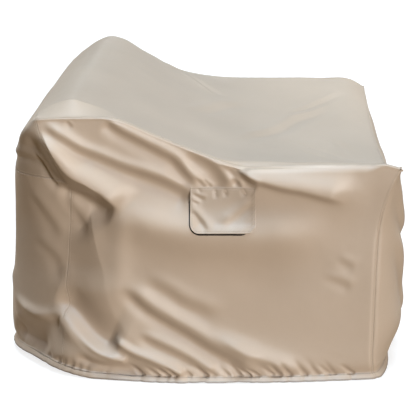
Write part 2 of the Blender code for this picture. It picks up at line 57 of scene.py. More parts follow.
OUTLINE_SAMPLES = 900

LEVEL_COLUMNS = ("drop", "end", "bow", "front", "belly", "back", "round_x", "round_y", "seam",
                 "power")  # of the rear corner's curve: 2 is an ellipse, 1 a flat
LEVELS = np.array((
    (0.00, 0.655, 0.047, -0.415, 0.045, 0.640, 0.360, 0.515, 0.461, 2.05),
    (0.07, 0.662, 0.030, -0.406, 0.066, 0.645, 0.330, 0.470, 0.461, 2.00),
    (0.20, 0.666, 0.014, -0.404, 0.100, 0.640, 0.275, 0.350, 0.460, 1.58),
    (0.42, 0.668, 0.006, -0.406, 0.092, 0.621, 0.224, 0.272, 0.458, 1.36),
    (0.60, 0.668, 0.003, -0.408, 0.093, 0.613, 0.198, 0.232, 0.454, 1.38),
    (0.75, 0.666, 0.002, -0.414, 0.088, 0.606, 0.170, 0.210, 0.449, 1.85),
    (0.85, 0.668, 0.001, -0.427, 0.070, 0.590, 0.110, 0.140, 0.476, 2.00),
    (0.93, 0.670, 0.000, -0.445, 0.044, 0.567, 0.050, 0.070, 0.508, 2.00),
    (1.00, 0.670, 0.000, FRONT_EDGE, 0.0, BACK_EDGE, 0.012, 0.014, 0.522, 2.00),
))
TOP_COLUMNS = ("y", "near_seam", "near", "middle", "far", "far_seam")
TOP = np.array((
    (FRONT_EDGE, 0.607, 0.608, 0.506, 0.600, 0.598),
    (-0.430, 0.618, 0.619, 0.514, 0.624, 0.622),
    (-0.300, 0.625, 0.625, 0.532, 0.634, 0.632),
    (-0.100, 0.621, 0.622, 0.576, 0.634, 0.632),
    (-0.007, 0.621, 0.623, 0.606, 0.634, 0.632),
    (0.100, 0.655, 0.656, 0.648, 0.642, 0.640),
    (0.200, 0.695, 0.696, 0.692, 0.668, 0.662),
    (0.315, 0.740, 0.744, 0.746, 0.733, 0.722),
    (0.390, 0.741, 0.766, 0.780, 0.780, 0.742),
    (0.430, 0.741, 0.777, 0.790, 0.786, 0.742),
    (0.470, 0.740, 0.767, 0.779, 0.770, 0.738),
    (BACK_EDGE, 0.737, 0.740, 0.749, 0.728, 0.722),
))
# The hem's lift off the floor at the rear corners, the Y from which it rises and at which it is
# complete, and its lift in the middle of the back
HEM_LIFT = 0.031
HEM_LIFT_FROM = 0.32
HEM_LIFT_FULL = 0.60
HEM_LIFT_BACK = 0.008

# Folds, by name: each has its wall, its widths on the upper and the lower side, the height of its
# ridge (or trough, if negative), the tilt of its step (its upper side stands out and its
# lower side is tucked in), the shares of its length over which it rises and dies out, and
# the points that it passes through. Points are (across, Z): across is Y on the ends, run on
# round the rear corners by length along the cloth, and X on the other walls.
FOLDS_FADE = 0.022         # share of the drop under the top edge over which folds rise
FOLD_TAPER = (0.80, 1.15)  # a fold's width at its start and its end, against its given one
FOLDS = {
    "long drag below slope": ("near", (0.013, 0.020), 0.0, 0.85, (0.10, 0.07),
     ((0.512, 0.722), (0.455, 0.690), (0.401, 0.655), (0.347, 0.632), (0.284, 0.605),
      (0.214, 0.582), (0.160, 0.561), (0.095, 0.525))),
    "upper drag below slope": ("near", (0.012, 0.017), 0.0, 0.75, (0.08, 0.10),
     ((0.335, 0.738), (0.296, 0.707), (0.240, 0.677), (0.185, 0.649), (0.147, 0.626),
      (0.117, 0.589), (0.083, 0.552))),
    "drag to vent": ("near", (0.018, 0.020), 0.0, 0.55, (0.25, 0.15),
     ((0.125, 0.652), (0.072, 0.630), (0.034, 0.599), (0.000, 0.545))),
    "second drag to vent": ("near", (0.007, 0.008), 0.0, 0.60, (0.30, 0.15),
     ((0.030, 0.622), (0.006, 0.608), (-0.016, 0.584), (-0.032, 0.553))),
    "third drag to vent": ("near", (0.009, 0.012), 0.0, 0.75, (0.25, 0.15),
     ((0.012, 0.618), (-0.010, 0.609), (-0.045, 0.579), (-0.082, 0.551))),
    "pucker over vent's rear corner": ("near", (0.005, 0.006), -0.0010, 0.60, (0.40, 0.10),
     ((0.092, 0.580), (0.077, 0.566), (0.062, 0.551))),
    "second pucker over vent": ("near", (0.004, 0.005), -0.0008, 0.55, (0.40, 0.10),
     ((0.072, 0.576), (0.058, 0.563), (0.046, 0.551))),
    "third pucker over vent": ("near", (0.005, 0.006), -0.0010, 0.55, (0.40, 0.10),
     ((-0.004, 0.580), (-0.020, 0.566), (-0.034, 0.551))),
    "pucker under facet seam": ("near", (0.004, 0.006), -0.0010, 0.50, (0.30, 0.30),
     ((0.440, 0.735), (0.428, 0.724), (0.420, 0.712))),
    "wedge under arm top": ("near", (0.048, 0.014), 0.0165, 0.0, (0.12, 0.20),
     ((-0.020, 0.604), (-0.065, 0.582), (-0.137, 0.560), (-0.200, 0.548), (-0.262, 0.532),
      (-0.330, 0.514))),
    "bulge of arm top": ("near", (0.042, 0.060), 0.0120, 0.0, (0.20, 0.25),
     ((0.000, 0.575), (-0.100, 0.562), (-0.200, 0.552), (-0.300, 0.540), (-0.400, 0.525))),
    "bulge below drags": ("near", (0.060, 0.066), 0.0270, 0.0, (0.25, 0.30),
     ((0.360, 0.535), (0.305, 0.495), (0.250, 0.462), (0.187, 0.440), (0.107, 0.424),
      (0.000, 0.414), (-0.100, 0.418), (-0.220, 0.436), (-0.330, 0.455))),
    "hollow over long ridge": ("near", (0.020, 0.020), 0.0, 0.36, (0.25, 0.30),
     ((0.240, 0.298), (0.170, 0.263), (0.114, 0.225), (0.010, 0.182))),
    "long ridge to hem": ("near", (0.022, 0.018), 0.0, 0.82, (0.15, 0.12),
     ((0.300, 0.275), (0.225, 0.208), (0.168, 0.170), (0.111, 0.136), (0.055, 0.099),
      (-0.010, 0.062), (-0.075, 0.018))),
    "end of long ridge": ("near", (0.026, 0.018), 0.0110, 0.0, (0.35, 0.30),
     ((0.060, 0.150), (-0.040, 0.092), (-0.140, 0.050), (-0.220, 0.030))),
    "short ridge to hem": ("near", (0.014, 0.014), 0.0, 0.70, (0.20, 0.10),
     ((0.255, 0.135), (0.227, 0.121), (0.151, 0.085), (0.094, 0.054), (0.045, 0.016))),
    "lowest ridge to hem": ("near", (0.012, 0.016), 0.0125, 0.0, (0.10, 0.12),
     ((0.320, 0.121), (0.296, 0.104), (0.262, 0.084), (0.187, 0.055), (0.110, 0.014))),
    "thrown ridge, rear part": ("near", (0.015, 0.018), 0.014, 0.0, (0.35, 0.45),
     ((0.700, 0.178), (0.640, 0.164), (0.600, 0.157), (0.560, 0.154), (0.520, 0.160),
      (0.484, 0.170), (0.440, 0.150))),
    "thrown ridge of rear corner": ("near", (0.020, 0.034), 0.015, 0.0, (0.24, 0.30),
     ((0.510, 0.160), (0.472, 0.172), (0.448, 0.156), (0.425, 0.130), (0.400, 0.105),
      (0.375, 0.088), (0.345, 0.072), (0.300, 0.056), (0.270, 0.046))),
    "tip of thrown ridge": ("near", (0.012, 0.008), 0.008, 0.0, (0.50, 0.08),
     ((0.425, 0.130), (0.392, 0.100), (0.352, 0.077), (0.282, 0.053))),
    "fan under thrown ridge": ("near", (0.034, 0.030), 0.008, 0.0, (0.35, 0.40),
     ((0.448, 0.180), (0.446, 0.100), (0.444, 0.015))),
    "flare under thrown ridge": ("near", (0.060, 0.040), 0.022, 0.0, (0.48, 0.48),
     ((0.610, 0.024), (0.450, 0.020), (0.270, 0.014))),
    "hollow before thrown ridge": ("near", (0.070, 0.026), -0.024, 0.0, (0.25, 0.20),
     ((0.500, 0.218), (0.445, 0.192), (0.408, 0.155), (0.380, 0.128), (0.352, 0.108),
      (0.300, 0.084))),
    "hollow under thrown ridge": ("near", (0.014, 0.013), -0.010, 0.0, (0.20, 0.25),
     ((0.425, 0.066), (0.385, 0.046), (0.320, 0.034), (0.226, 0.028))),
    "hollow of rear corner": ("near", (0.045, 0.020), -0.024, 0.0, (0.25, 0.25),
     ((0.720, 0.068), (0.610, 0.066), (0.500, 0.062))),
    "wing of rear corner": ("near", (0.020, 0.020), 0.005, 0.0, (0.20, 0.20),
     ((0.725, 0.260), (0.690, 0.170), (0.660, 0.090))),
    "flat of rear corner": ("near", (0.090, 0.090), -0.020, 0.0, (0.35, 0.30),
     ((0.440, 0.530), (0.432, 0.400), (0.425, 0.240))),
    "edge of rear corner": ("near", (0.034, 0.034), 0.007, 0.0, (0.25, 0.25),
     ((0.290, 0.520), (0.300, 0.400), (0.305, 0.300), (0.330, 0.200))),
    "crease under lip": ("near", (0.012, 0.024), -0.012, 0.35, (0.20, 0.15),
     ((0.490, 0.542), (0.432, 0.528), (0.374, 0.513), (0.306, 0.484))),
    "crease of overhang": ("near", (0.009, 0.010), -0.006, 0.60, (0.25, 0.25),
     ((0.552, 0.640), (0.524, 0.606), (0.502, 0.562), (0.466, 0.533))),
    "fold of overhang at the rear": ("near", (0.014, 0.012), 0.0, 0.60, (0.20, 0.25),
     ((0.700, 0.603), (0.640, 0.618), (0.580, 0.622), (0.530, 0.612), (0.504, 0.579))),
    "rear corner, high diagonal": ("near", (0.018, 0.018), 0.0, 0.22, (0.25, 0.25),
     ((0.600, 0.530), (0.532, 0.459), (0.475, 0.381))),
    "rear corner, second diagonal": ("near", (0.015, 0.015), 0.0, 0.22, (0.25, 0.25),
     ((0.470, 0.524), (0.431, 0.471), (0.388, 0.403))),
    "rear corner, low diagonal": ("near", (0.018, 0.018), 0.0, 0.20, (0.25, 0.25),
     ((0.585, 0.382), (0.500, 0.331), (0.462, 0.250))),
    "upper dent near front corner": ("near", (0.012, 0.012), 0.0, 0.18, (0.35, 0.35),
     ((-0.290, 0.355), (-0.322, 0.340), (-0.350, 0.320))),
    "lower dent near front corner": ("near", (0.013, 0.012), 0.0, 0.22, (0.40, 0.25),
     ((-0.250, 0.300), (-0.305, 0.288), (-0.345, 0.264))),
    "front drag from near arm": ("front", (0.020, 0.030), 0.0, 0.42, (0.20, 0.25),
     ((-0.64, 0.560), (-0.52, 0.440), (-0.40, 0.365), (-0.24, 0.315))),
    "front ridge from near arm": ("front", (0.024, 0.030), 0.006, 0.36, (0.25, 0.20),
     ((-0.62, 0.420), (-0.50, 0.290), (-0.39, 0.150), (-0.31, 0.030))),
    "front swag": ("front", (0.044, 0.032), -0.007, 0.22, (0.30, 0.30),
     ((-0.30, 0.410), (0.00, 0.350), (0.28, 0.415))),
    "front drag from far arm": ("front", (0.022, 0.026), 0.0, 0.40, (0.20, 0.25),
     ((0.63, 0.540), (0.50, 0.400), (0.38, 0.310), (0.19, 0.265))),
    "front ridge from far arm": ("front", (0.026, 0.028), 0.007, 0.32, (0.25, 0.20),
     ((0.57, 0.310), (0.47, 0.180), (0.40, 0.040))),
    "front hem flute": ("front", (0.030, 0.030), 0.011, 0.0, (0.35, 0.15),
     ((0.04, 0.230), (0.06, 0.120), (0.09, 0.000))),
    "front hem hollow": ("front", (0.028, 0.028), -0.009, 0.0, (0.40, 0.15),
     ((-0.13, 0.190), (-0.10, 0.000))),
    "back flute, near": ("back", (0.032, 0.032), 0.013, 0.0, (0.25, 0.25),
     ((-0.34, 0.50), (-0.28, 0.25), (-0.30, 0.02))),
    "back hollow, near": ("back", (0.030, 0.030), -0.012, 0.0, (0.25, 0.25),
     ((-0.20, 0.46), (-0.16, 0.20), (-0.14, 0.02))),
    "back drag under crest": ("back", (0.026, 0.026), -0.010, 0.0, (0.25, 0.25),
     ((-0.46, 0.66), (-0.20, 0.60), (0.10, 0.62))),
    "back flute, middle": ("back", (0.034, 0.034), 0.012, 0.0, (0.25, 0.25),
     ((0.06, 0.42), (0.02, 0.20), (0.04, 0.02))),
    "back hollow, far": ("back", (0.030, 0.030), -0.011, 0.0, (0.25, 0.25),
     ((0.26, 0.50), (0.22, 0.25), (0.24, 0.02))),
    "far drag below slope": ("far", (0.014, 0.020), 0.0, 0.55, (0.15, 0.15),
     ((0.490, 0.700), (0.400, 0.655), (0.300, 0.620), (0.180, 0.575), (0.060, 0.530))),
    "far upper drag": ("far", (0.012, 0.017), 0.0, 0.45, (0.15, 0.20),
     ((0.340, 0.725), (0.250, 0.685), (0.140, 0.625))),
    "far drag under arm top": ("far", (0.034, 0.016), 0.009, 0.0, (0.20, 0.25),
     ((-0.060, 0.575), (-0.180, 0.542), (-0.340, 0.512))),
    "far ridge to hem": ("far", (0.022, 0.020), 0.0, 0.55, (0.20, 0.12),
     ((0.320, 0.300), (0.200, 0.200), (0.080, 0.118), (-0.060, 0.020))),
    "far second ridge": ("far", (0.018, 0.018), 0.0, 0.36, (0.25, 0.25),
     ((0.200, 0.300), (0.080, 0.215), (-0.080, 0.150))),
    "far lowest ridge": ("far", (0.014, 0.014), 0.0, 0.45, (0.20, 0.12),
     ((0.270, 0.155), (0.160, 0.085), (0.070, 0.018))),
}

# Small gathers above the hem's stitches: wall, where they start and end, how many, their
# depth, their length up the cloth, how far they lean over it, and the seed of their spread
GATHER_WIDTH = 0.0075
GATHER_WIDENING = 0.5    # how much wider it gets towards its upper end
GATHER_IN_HEM = 0.35     # its strength on the hem itself, against that over the stitches
GATHER_HEM_REACH = 0.003
GATHER_PLACES = (0.1, 0.9)   # spread of its place within its share of the length,
GATHER_LENGTHS = (0.6, 1.3)  # of its length
GATHER_DEPTHS = (0.4, 1.2)   # and of its depth
GATHERS = (
    ("near", 0.25, -0.35, 19, 0.0080, 0.046, 0.036, 3),
    ("near", 0.54, 0.33, 9, 0.0040, 0.034, -0.010, 4),
    ("front", -0.60, 0.60, 22, 0.0022, 0.030, 0.008, 5),
    ("back", -0.56, 0.56, 20, 0.0022, 0.030, -0.008, 6),
    ("far", 0.50, -0.34, 18, 0.0024, 0.032, 0.016, 7),
)

# The overhang's folded edge at a rear corner: its line, how far it stands out and how far the
# cloth is tucked in below it, over which drop, and how it fades
LIP_LINE = ((0.527, 0.737), (0.447, 0.602), (0.386, 0.559), (0.340, 0.530), (0.290, 0.480))
LIP_OUT = 0.030
LIP_IN = 0.022
LIP_DROP = 0.055
LIP_FADE_ABOVE = 0.055
LIP_FADE_BELOW = 0.090
LIP_START = 0.20
LIP_END = 0.18
LIP_FADE = 0.125         # share of the drop under the top edge over which the lip rises
CREASE_FADE = 0.05       # share of the top's length and depth over which creases die out
TOP_FOLD_ENDS = (0.30, 0.30)  # shares of a crease's length over which it rises and dies out
# Creases of the top in plan: width, height of ridge, tilt of step, points (X, Y)
TOP_FOLDS = (
    (0.018, -0.0040, 0.38, ((-0.34, -0.01), (-0.26, -0.04), (-0.14, -0.07), (0.04, -0.14),
                            (0.27, -0.21), (0.39, -0.29), (0.52, -0.37))),
    (0.012, -0.0010, 0.36, ((0.30, -0.17), (0.39, -0.23), (0.51, -0.32), (0.60, -0.41))),
    (0.014, -0.0030, 0.60, ((0.56, 0.165), (0.52, 0.150), (0.43, 0.110), (0.31, 0.040))),
    (0.020, -0.0010, 0.30, ((-0.15, 0.14), (0.00, 0.08), (0.20, 0.02), (0.36, -0.06))),
    (0.026, -0.0060, 0.10, ((0.10, -0.30), (0.02, -0.345), (-0.12, -0.365), (-0.26, -0.370))),
    (0.014, -0.0024, 0.20, ((-0.17, -0.19), (-0.25, -0.27), (-0.33, -0.33))),
    (0.016, -0.0024, 0.20, ((-0.05, -0.17), (-0.13, -0.27), (-0.22, -0.34))),
    (0.018, -0.0050, 0.35, ((0.56, 0.230), (0.61, 0.190), (0.665, 0.150))),
)

# Air vent, in the tables' coordinates
RAY_FROM = -2.0          # X well outside the near end, from which places on it are found
VENT_Y = 0.017
FLAP_WIDTH = 0.178
FLAP_TOP_Z = 0.551
FLAP_HEIGHT = 0.122
FLAP_REAR_CORNER = 0.026
FLAP_FRONT_CORNER = 0.017
FLAP_THICK = 0.0012
FLAP_SEWN_OFF = 0.0010   # how far its sewn edges stand off the panel
FLAP_LOOSE_OFF = 0.0060  # and its loose edge at the rear and below
FLAP_BORDER = 0.0050     # from its edge to the stitches round it
FLAP_SCALLOP = 0.013     # from one pucker of that border to the next
FLAP_PUCKER = 0.0017     # height of those puckers at its front edge
FLAP_PUCKER_SHARE = 0.4  # their height elsewhere, against that
FLAP_PUCKER_FRONT = 0.020  # width of the strip at its front edge with the high ones
FLAP_PUCKER_AT = 0.0055  # from its edge to their crests
FLAP_PUCKER_HALF = 0.0045
FLAP_PUCKER_FADE = 0.020
FLAP_SEWN_DROP = 0.004   # from its top edge to the stitches there
FLAP_SEWN_INSET = 0.003  # from its sides to where those stitches start
FLAP_STITCH_FROM = 0.006  # where its border's stitches start below the top edge
FLAP_LOOSE_REACH = 0.020  # how far its loose edges' stand off reaches in
FLAP_LOOSE_BELOW = 0.035  # how far down it is fully loose
FLAP_LOOSE_BEHIND = 0.045  # and how far behind its front edge
FLAP_SMOOTHING = 40      # rounds that smooth out the panel's folds under it
FLAP_SMOOTHING_ROOM = 0.0005  # how far it may sink below those folds
FLAP_FOLD_ENDS = (0.3, 0.3)
FLAP_ROWS = ((0.012, 3), (0.05, 4), (0.80, 26), (0.96, 12), (1.0, 8))
FLAP_COLUMNS = ((0.006, 3), (0.04, 5), (0.96, 56), (0.994, 5), (1.0, 3))
# Folds of the flap: width, ridge, tilt, points (distance from its rear edge, from its top)
FLAP_FOLDS = (
    (0.009, -0.0005, 0.68, ((0.000, -0.052), (0.026, -0.084), (0.056, -0.120))),
    (0.011, 0.0016, 0.46, ((0.176, -0.030), (0.130, -0.068), (0.080, -0.108))),
    (0.005, -0.0004, 0.55, ((0.003, -0.012), (0.022, -0.023), (0.046, -0.034))),
    (0.004, -0.0004, 0.45, ((0.002, -0.030), (0.016, -0.040), (0.028, -0.046))),
    (0.006, -0.0024, 0.0, ((0.066, -0.002), (0.071, -0.034))),
    (0.006, -0.0024, 0.0, ((0.093, -0.002), (0.097, -0.030))),
    (0.007, -0.0024, 0.0, ((0.138, -0.002), (0.150, -0.026))),
    (0.004, -0.0014, 0.0, ((0.020, -0.002), (0.030, -0.018))),
)
WINDOW_Y = 0.0245        # the window shows past the flap's loose edge at the rear and below
WINDOW_WIDTH = 0.168
WINDOW_HEIGHT = 0.113
WINDOW_TOP_Z = 0.5355
WINDOW_CORNER = 0.030
NET_MARGIN = 0.010
NET_BEHIND = 0.0032      # how far the net lies behind the panel's outer side
NET_SMOOTHING = 30
NET_STEPS = (44, 32)     # cells across and down

# Sewing
HEM_WIDTH = 0.017        # from the hem's edge to its stitches
HEM_PROUD = 0.0008       # how far its doubled cloth stands out
HEM_FLARE = 0.0085       # how much further its edge stands out than its stitches
HEM_PULL = 0.0048        # how far the stitches draw the cloth in
HEM_PULL_REACH = 0.015
HEM_CLEAR = 0.0020       # how high its edge stays over the floor, for the cloth turned under it
HEM_CLEAR_REACH = 0.060
ALLOWANCE = 0.006        # how far a panel's edge is turned in at a seam
STITCH_PITCH = 0.0042
STITCH_LENGTH = 0.0031
STITCH_RADIUS = 0.00038
FIRST_STITCH = 0.3       # where a row's first stitch starts, in pitches
STITCH_LINE_STEP = 0.002  # between the points of the flap's rows
STITCH_ARC_POINTS = 9    # of those rows at its corners
TOPSTITCH = 0.0065       # from a seam to the row of stitches beside it
SEAM_DEPTH = 0.0010
CORNER_SEAM_DEPTH = 0.0003
SEAM_HALF = 0.0015
SEAM_RIM = 0.5           # height of the rim beside it, against its depth
SEAM_RIM_AT = 0.0042
SEAM_RIM_HALF = 0.0022
SEAM_PUCKER = 0.0005     # height of the puckers along it
SEAM_PUCKER_SIZE = (0.012, 0.05)  # along the seam and away from it
SEAM_PUCKER_REACH = 0.009
HEM_PUCKER = 0.0006
HEM_PUCKER_SIZE = (0.010, 0.03)
HEM_PUCKER_REACH = 0.010
HEM_STEP = 0.002         # width of the step where its doubled cloth ends
UNEVEN_FROM_SEAM = 0.05  # where the cloth's unevenness is complete
UNEVEN_FROM_HEM = 0.03
STITCH_DEPTH = 0.0004
STITCH_HALF = 0.0011
WELD_ROWS = 9            # rows over which two panels' edges are brought together

# Radii of the rounded edges
SLOPE_EDGE = 0.009
ARM_EDGE = 0.036         # over the arm, from ARM_FROM to the front
ARM_FROM = 0.03
ARM_FRONT = -0.43        # Y past which it gets small again, towards the front corner
ARM_FADES = (0.08, 0.05)  # over which lengths it grows and gets small
FACET_EDGE = 0.003
FAR_EDGE = 0.005
FACET_FROM = 0.36        # Y past which the end's top edge is a folded one
FACET_FADE = 0.07
FRONT_TOP_EDGE = 0.006
FRONT_CORNER = (0.018, 0.003)  # at the hem and at the top
FRONT_CORNER_RISES = (0.6, 0.9)  # between which it changes
CREST_EDGE = 0.009

# Uneven cloth: size and height of its smooth bumps
UNEVEN = ((0.17, 0.0014), (0.065, 0.0005), (0.028, 0.00018))
LATTICE = 64             # cells after which the noise repeats


def smooth_curve(at, knots, values):
    """A cubic curve through a table's rows, read at one or many places."""
    slopes = np.gradient(values, knots)
    left = np.clip(np.searchsorted(knots, at) - 1, 0, len(knots) - 2)
    span = knots[left + 1] - knots[left]
    f = np.clip((at - knots[left]) / span, 0.0, 1.0)
    start = (1 + 2 * f) * (1 - f) ** 2 * values[left] + f * (1 - f) ** 2 * span * slopes[left]
    end = f**2 * (3 - 2 * f) * values[left + 1] + f**2 * (f - 1) * span * slopes[left + 1]
    return start + end


def smooth_step(value):
    value = np.clip(value, 0.0, 1.0)
    return value * value * (3 - 2 * value)


def bell(value):
    return np.exp(-(value**2))


def noise(u, v, seed):
    """Smooth noise from -1 to 1 over a plane, the same each run."""
    lattice = np.random.default_rng(seed).uniform(-1, 1, (LATTICE, LATTICE))
    iu, iv = np.floor(u).astype(int), np.floor(v).astype(int)
    fu, fv = smooth_step(u - iu), smooth_step(v - iv)
    this_u, next_u = iu % LATTICE, (iu + 1) % LATTICE
    this_v, next_v = iv % LATTICE, (iv + 1) % LATTICE
    a, b = lattice[this_u, this_v], lattice[next_u, this_v]
    c, d = lattice[this_u, next_v], lattice[next_u, next_v]
    return (a * (1 - fu) + b * fu) * (1 - fv) + (c * (1 - fu) + d * fu) * fv


def level_at(drop):
    return {
        name: float(smooth_curve(drop, LEVELS[:, 0], LEVELS[:, column]))
        for column, name in enumerate(LEVEL_COLUMNS)
    }


def top_height(x, y):
    """Height of the top over a point of the plan, before its creases."""
    read = {
        name: smooth_curve(y, TOP[:, 0], TOP[:, column])
        for column, name in enumerate(TOP_COLUMNS)
    }
    along = np.clip((x + HALF_LENGTH) / (2 * HALF_LENGTH), 0.0, 1.0)
    ends = read["near"] * (1 - along) + read["far"] * along
    middle_share = 1 - np.clip(np.abs(x) / HALF_LENGTH, 0.0, 1.0) ** SADDLE_POWER
    height = ends * (1 - middle_share) + read["middle"] * middle_share
    from_near = np.clip((x + HALF_LENGTH) / CREST_INSET, 0.0, 1.0)
    from_far = np.clip((HALF_LENGTH - x) / CREST_INSET, 0.0, 1.0)
    height += (read["near_seam"] - read["near"]) * (1 - from_near)
    height += (read["far_seam"] - read["far"]) * (1 - from_far)
    return height


def shares(*spans):
    """Places from 0 to 1, given as spans: each runs up to a place in so many steps."""
    places, start = [0.0], 0.0
    for end, steps in spans:
        places.extend(start + (end - start) * (np.arange(steps) + 1) / steps)
        start = end
    return np.array(places)


# Grid lines, finer at seams, at the hem and at the near corners
CROSS_SEAM_RISE = 0.75
DEEP = shares((0.012, 8), (0.988, 224), (1.0, 8))
LONG = shares((0.0085, 8), (0.27, 108), (0.9915, 116), (1.0, 8))
RISE = shares((0.065, 26), (0.735, 110), (CROSS_SEAM_RISE, 8), (0.765, 8), (0.98, 40), (1.0, 9))
CROSS_SEAM_ROW = int(np.argmin(np.abs(RISE - CROSS_SEAM_RISE)))


def spaced(outline, at):
    """Points along an outline at shares of its length."""
    steps = np.linalg.norm(np.diff(outline, axis=0), axis=1)
    run = np.concatenate(([0.0], np.cumsum(steps)))
    at = at * run[-1]
    return np.stack([np.interp(at, run, outline[:, axis]) for axis in (0, 1)], axis=1)


def near_outline(level):
    """Plan of an end at a level, from the rear corner seam to the front corner."""
    y = np.linspace(level["seam"], level["front"], OUTLINE_SAMPLES)
    start = level["back"] - level["round_y"]
    turned = np.clip((y - start) / level["round_y"], 0.0, 1.0)
    off_middle = np.clip((start - y) / (start - level["front"]), 0.0, 1.0)
    x = -level["end"] - level["bow"] * (1 - off_middle**2)
    power = level["power"]
    x += level["round_x"] * (1 - (1 - turned**power) ** (1 / power))
    return np.stack((x, y), axis=1)


def far_outline(level):
    return near_outline(level) * (-1, 1)


def back_outline(level):
    """Plan of the back at a level, from the near rear corner seam round to the far one."""
    power = level["power"]
    start = np.clip((level["seam"] - level["back"]) / level["round_y"] + 1, 0.0, 1.0)
    turn = np.linspace(math.asin(start ** (power / 2)), math.pi / 2, OUTLINE_SAMPLES)
    round_x = level["round_x"] * (1 - np.abs(np.cos(turn)) ** (2 / power))
    x = -level["end"] - level["bow"] + round_x
    y = level["back"] - level["round_y"] * (1 - np.sin(turn) ** (2 / power))
    corner = np.stack((x, y), axis=1)
    return np.concatenate((corner, corner[::-1] * (-1, 1)))


def front_outline(level):
    """Plan of the front at a level, from the near corner to the far one."""
    along = np.linspace(-1.0, 1.0, OUTLINE_SAMPLES)
    x = level["end"] * along
    y = level["front"] - level["belly"] * (1 - np.abs(along) ** BELLY_POWER)
    return np.stack((x, y), axis=1)


def smooth_path(points, steps=6):
    """A smooth path through points, which keeps its ends."""
    points = np.array(points)
    before, after = 2 * points[:1] - points[1:2], 2 * points[-1:] - points[-2:-1]
    knots = np.concatenate((before, points, after))
    path = []
    for a, b, c, d in zip(knots, knots[1:], knots[2:], knots[3:]):
        for t in np.arange(steps) / steps:
            path.append(0.5 * (2 * b + (c - a) * t + (2 * a - 5 * b + 4 * c - d) * t**2
                               + (3 * b - a - 3 * c + d) * t**3))
    path.append(points[-1])
    return np.array(path)


def to_line(across, up, points):
    """Distance of places to a smooth line, positive above it, and the share run along it."""
    points = smooth_path(points)
    lengths = np.linalg.norm(np.diff(points, axis=0), axis=1)
    total = lengths.sum()
    nearest = np.full(np.shape(across), np.inf)
    above = np.zeros(np.shape(across))
    share = np.zeros(np.shape(across))
    done = 0.0
    for start, end, length in zip(points[:-1], points[1:], lengths):
        along = (end - start) / length
        da, du = across - start[0], up - start[1]
        run = np.clip(da * along[0] + du * along[1], 0.0, length)
        distance = np.hypot(da - run * along[0], du - run * along[1])
        side = np.sign((along[0] * du - along[1] * da) * along[0])
        closer = distance < nearest
        nearest = np.where(closer, distance, nearest)
        above = np.where(closer, side, above)
        share = np.where(closer, (done + run) / total, share)
        done += length
    return nearest, above, share


def fold_height(across, up, widths, ridge, tilt, ends, points):
    """How far a fold stands out: a ridge or trough, and a step that stands out on its upper side."""
    distance, above, share = to_line(across, up, points)
    fade = smooth_step(share / ends[0]) * smooth_step((1 - share) / ends[1])
    taper = FOLD_TAPER[0] + (FOLD_TAPER[1] - FOLD_TAPER[0]) * share
    width = np.where(above > 0, *widths) * taper
    reach = distance / width
    return fade * (ridge * bell(reach) + tilt * above * distance * np.exp(-(reach**2) / 2))


def lip_height(across, up):
    """How far the overhang stands out above its folded edge, and how far it is tucked in below."""
    distance, above, share = to_line(across, up, LIP_LINE)
    below = np.where(above > 0, 0.0, distance)
    out = LIP_OUT * bell(np.where(above > 0, distance, 0.0) / LIP_FADE_ABOVE)
    tuck = -LIP_IN * bell(np.maximum(0.0, below - LIP_DROP) / LIP_FADE_BELOW)
    fallen = 2 * smooth_step(0.5 + 0.5 * below / LIP_DROP) - 1
    fade = smooth_step(share / LIP_START) * smooth_step((1 - share) / LIP_END)
    return fade * (out * (1 - fallen) + tuck * fallen)


def folds_of(wall, across, up):
    total = np.zeros(np.shape(across))
    for on, widths, ridge, tilt, ends, points in FOLDS.values():
        if on == wall:
            total += fold_height(across, up, widths, ridge, tilt, ends, points)
    return total


def gathers_of(wall, across, over_hem):
    """Small folds that run up from the hem's stitches, unevenly spaced."""
    total = np.zeros(np.shape(across))
    for on, start, end, count, depth, length, lean, seed in GATHERS:
        if on != wall:
            continue
        random = np.random.default_rng(seed)
        for number in range(count):
            foot = start + (end - start) * (number + random.uniform(*GATHER_PLACES)) / count
            reach = length * random.uniform(*GATHER_LENGTHS)
            deep = depth * random.uniform(*GATHER_DEPTHS)
            up = (over_hem - HEM_WIDTH) / reach
            risen = np.clip(up, 0.0, 1.0)
            off = (across - foot - lean * risen) / (GATHER_WIDTH * (1 + GATHER_WIDENING * risen))
            on_hem = GATHER_IN_HEM + (1 - GATHER_IN_HEM) * bell(up * reach / GATHER_HEM_REACH)
            total -= deep * np.where(up > 0, smooth_step(1 - up), on_hem) * bell(off)
    return total


def hem_height(x, y):
    lift = smooth_step((y - HEM_LIFT_FROM) / (HEM_LIFT_FULL - HEM_LIFT_FROM))
    towards_middle = np.clip(1 - (x / HALF_LENGTH) ** 2, 0.0, 1.0)
    return lift * (HEM_LIFT - (HEM_LIFT - HEM_LIFT_BACK) * towards_middle)


def lengths_along(grid, axis):
    """Length run along one axis of a grid of points."""
    steps = np.linalg.norm(np.diff(grid, axis=axis), axis=-1)
    start = np.zeros_like(np.take(steps, [0], axis=axis))
    return np.concatenate((start, np.cumsum(steps, axis=axis)), axis=axis)


def unit(vectors):
    return vectors / np.maximum(np.linalg.norm(vectors, axis=-1, keepdims=True), 1e-12)


def normals_of(grid):
    """Unit normals of a grid, away from the middle of the sofa."""
    normal = unit(np.cross(np.gradient(grid, axis=0), np.gradient(grid, axis=1)))
    outward = np.sum(normal * (grid - INSIDE))
    return normal if outward > 0 else -normal


def wall_plan(outline):
    """Plan points and heights of a wall, rows from hem to edge."""
    edge = spaced(outline(level_at(1.0)), shares_of[outline])
    edge_z = top_height(edge[:, 0], edge[:, 1])
    plan = np.array([spaced(outline(level_at(drop)), shares_of[outline]) for drop in RISE])
    hem_z = hem_height(plan[..., 0], plan[..., 1])
    z = hem_z + (edge_z - hem_z) * RISE[:, None]
    return plan, z


shares_of = {near_outline: DEEP, far_outline: DEEP, back_outline: LONG, front_outline: LONG}


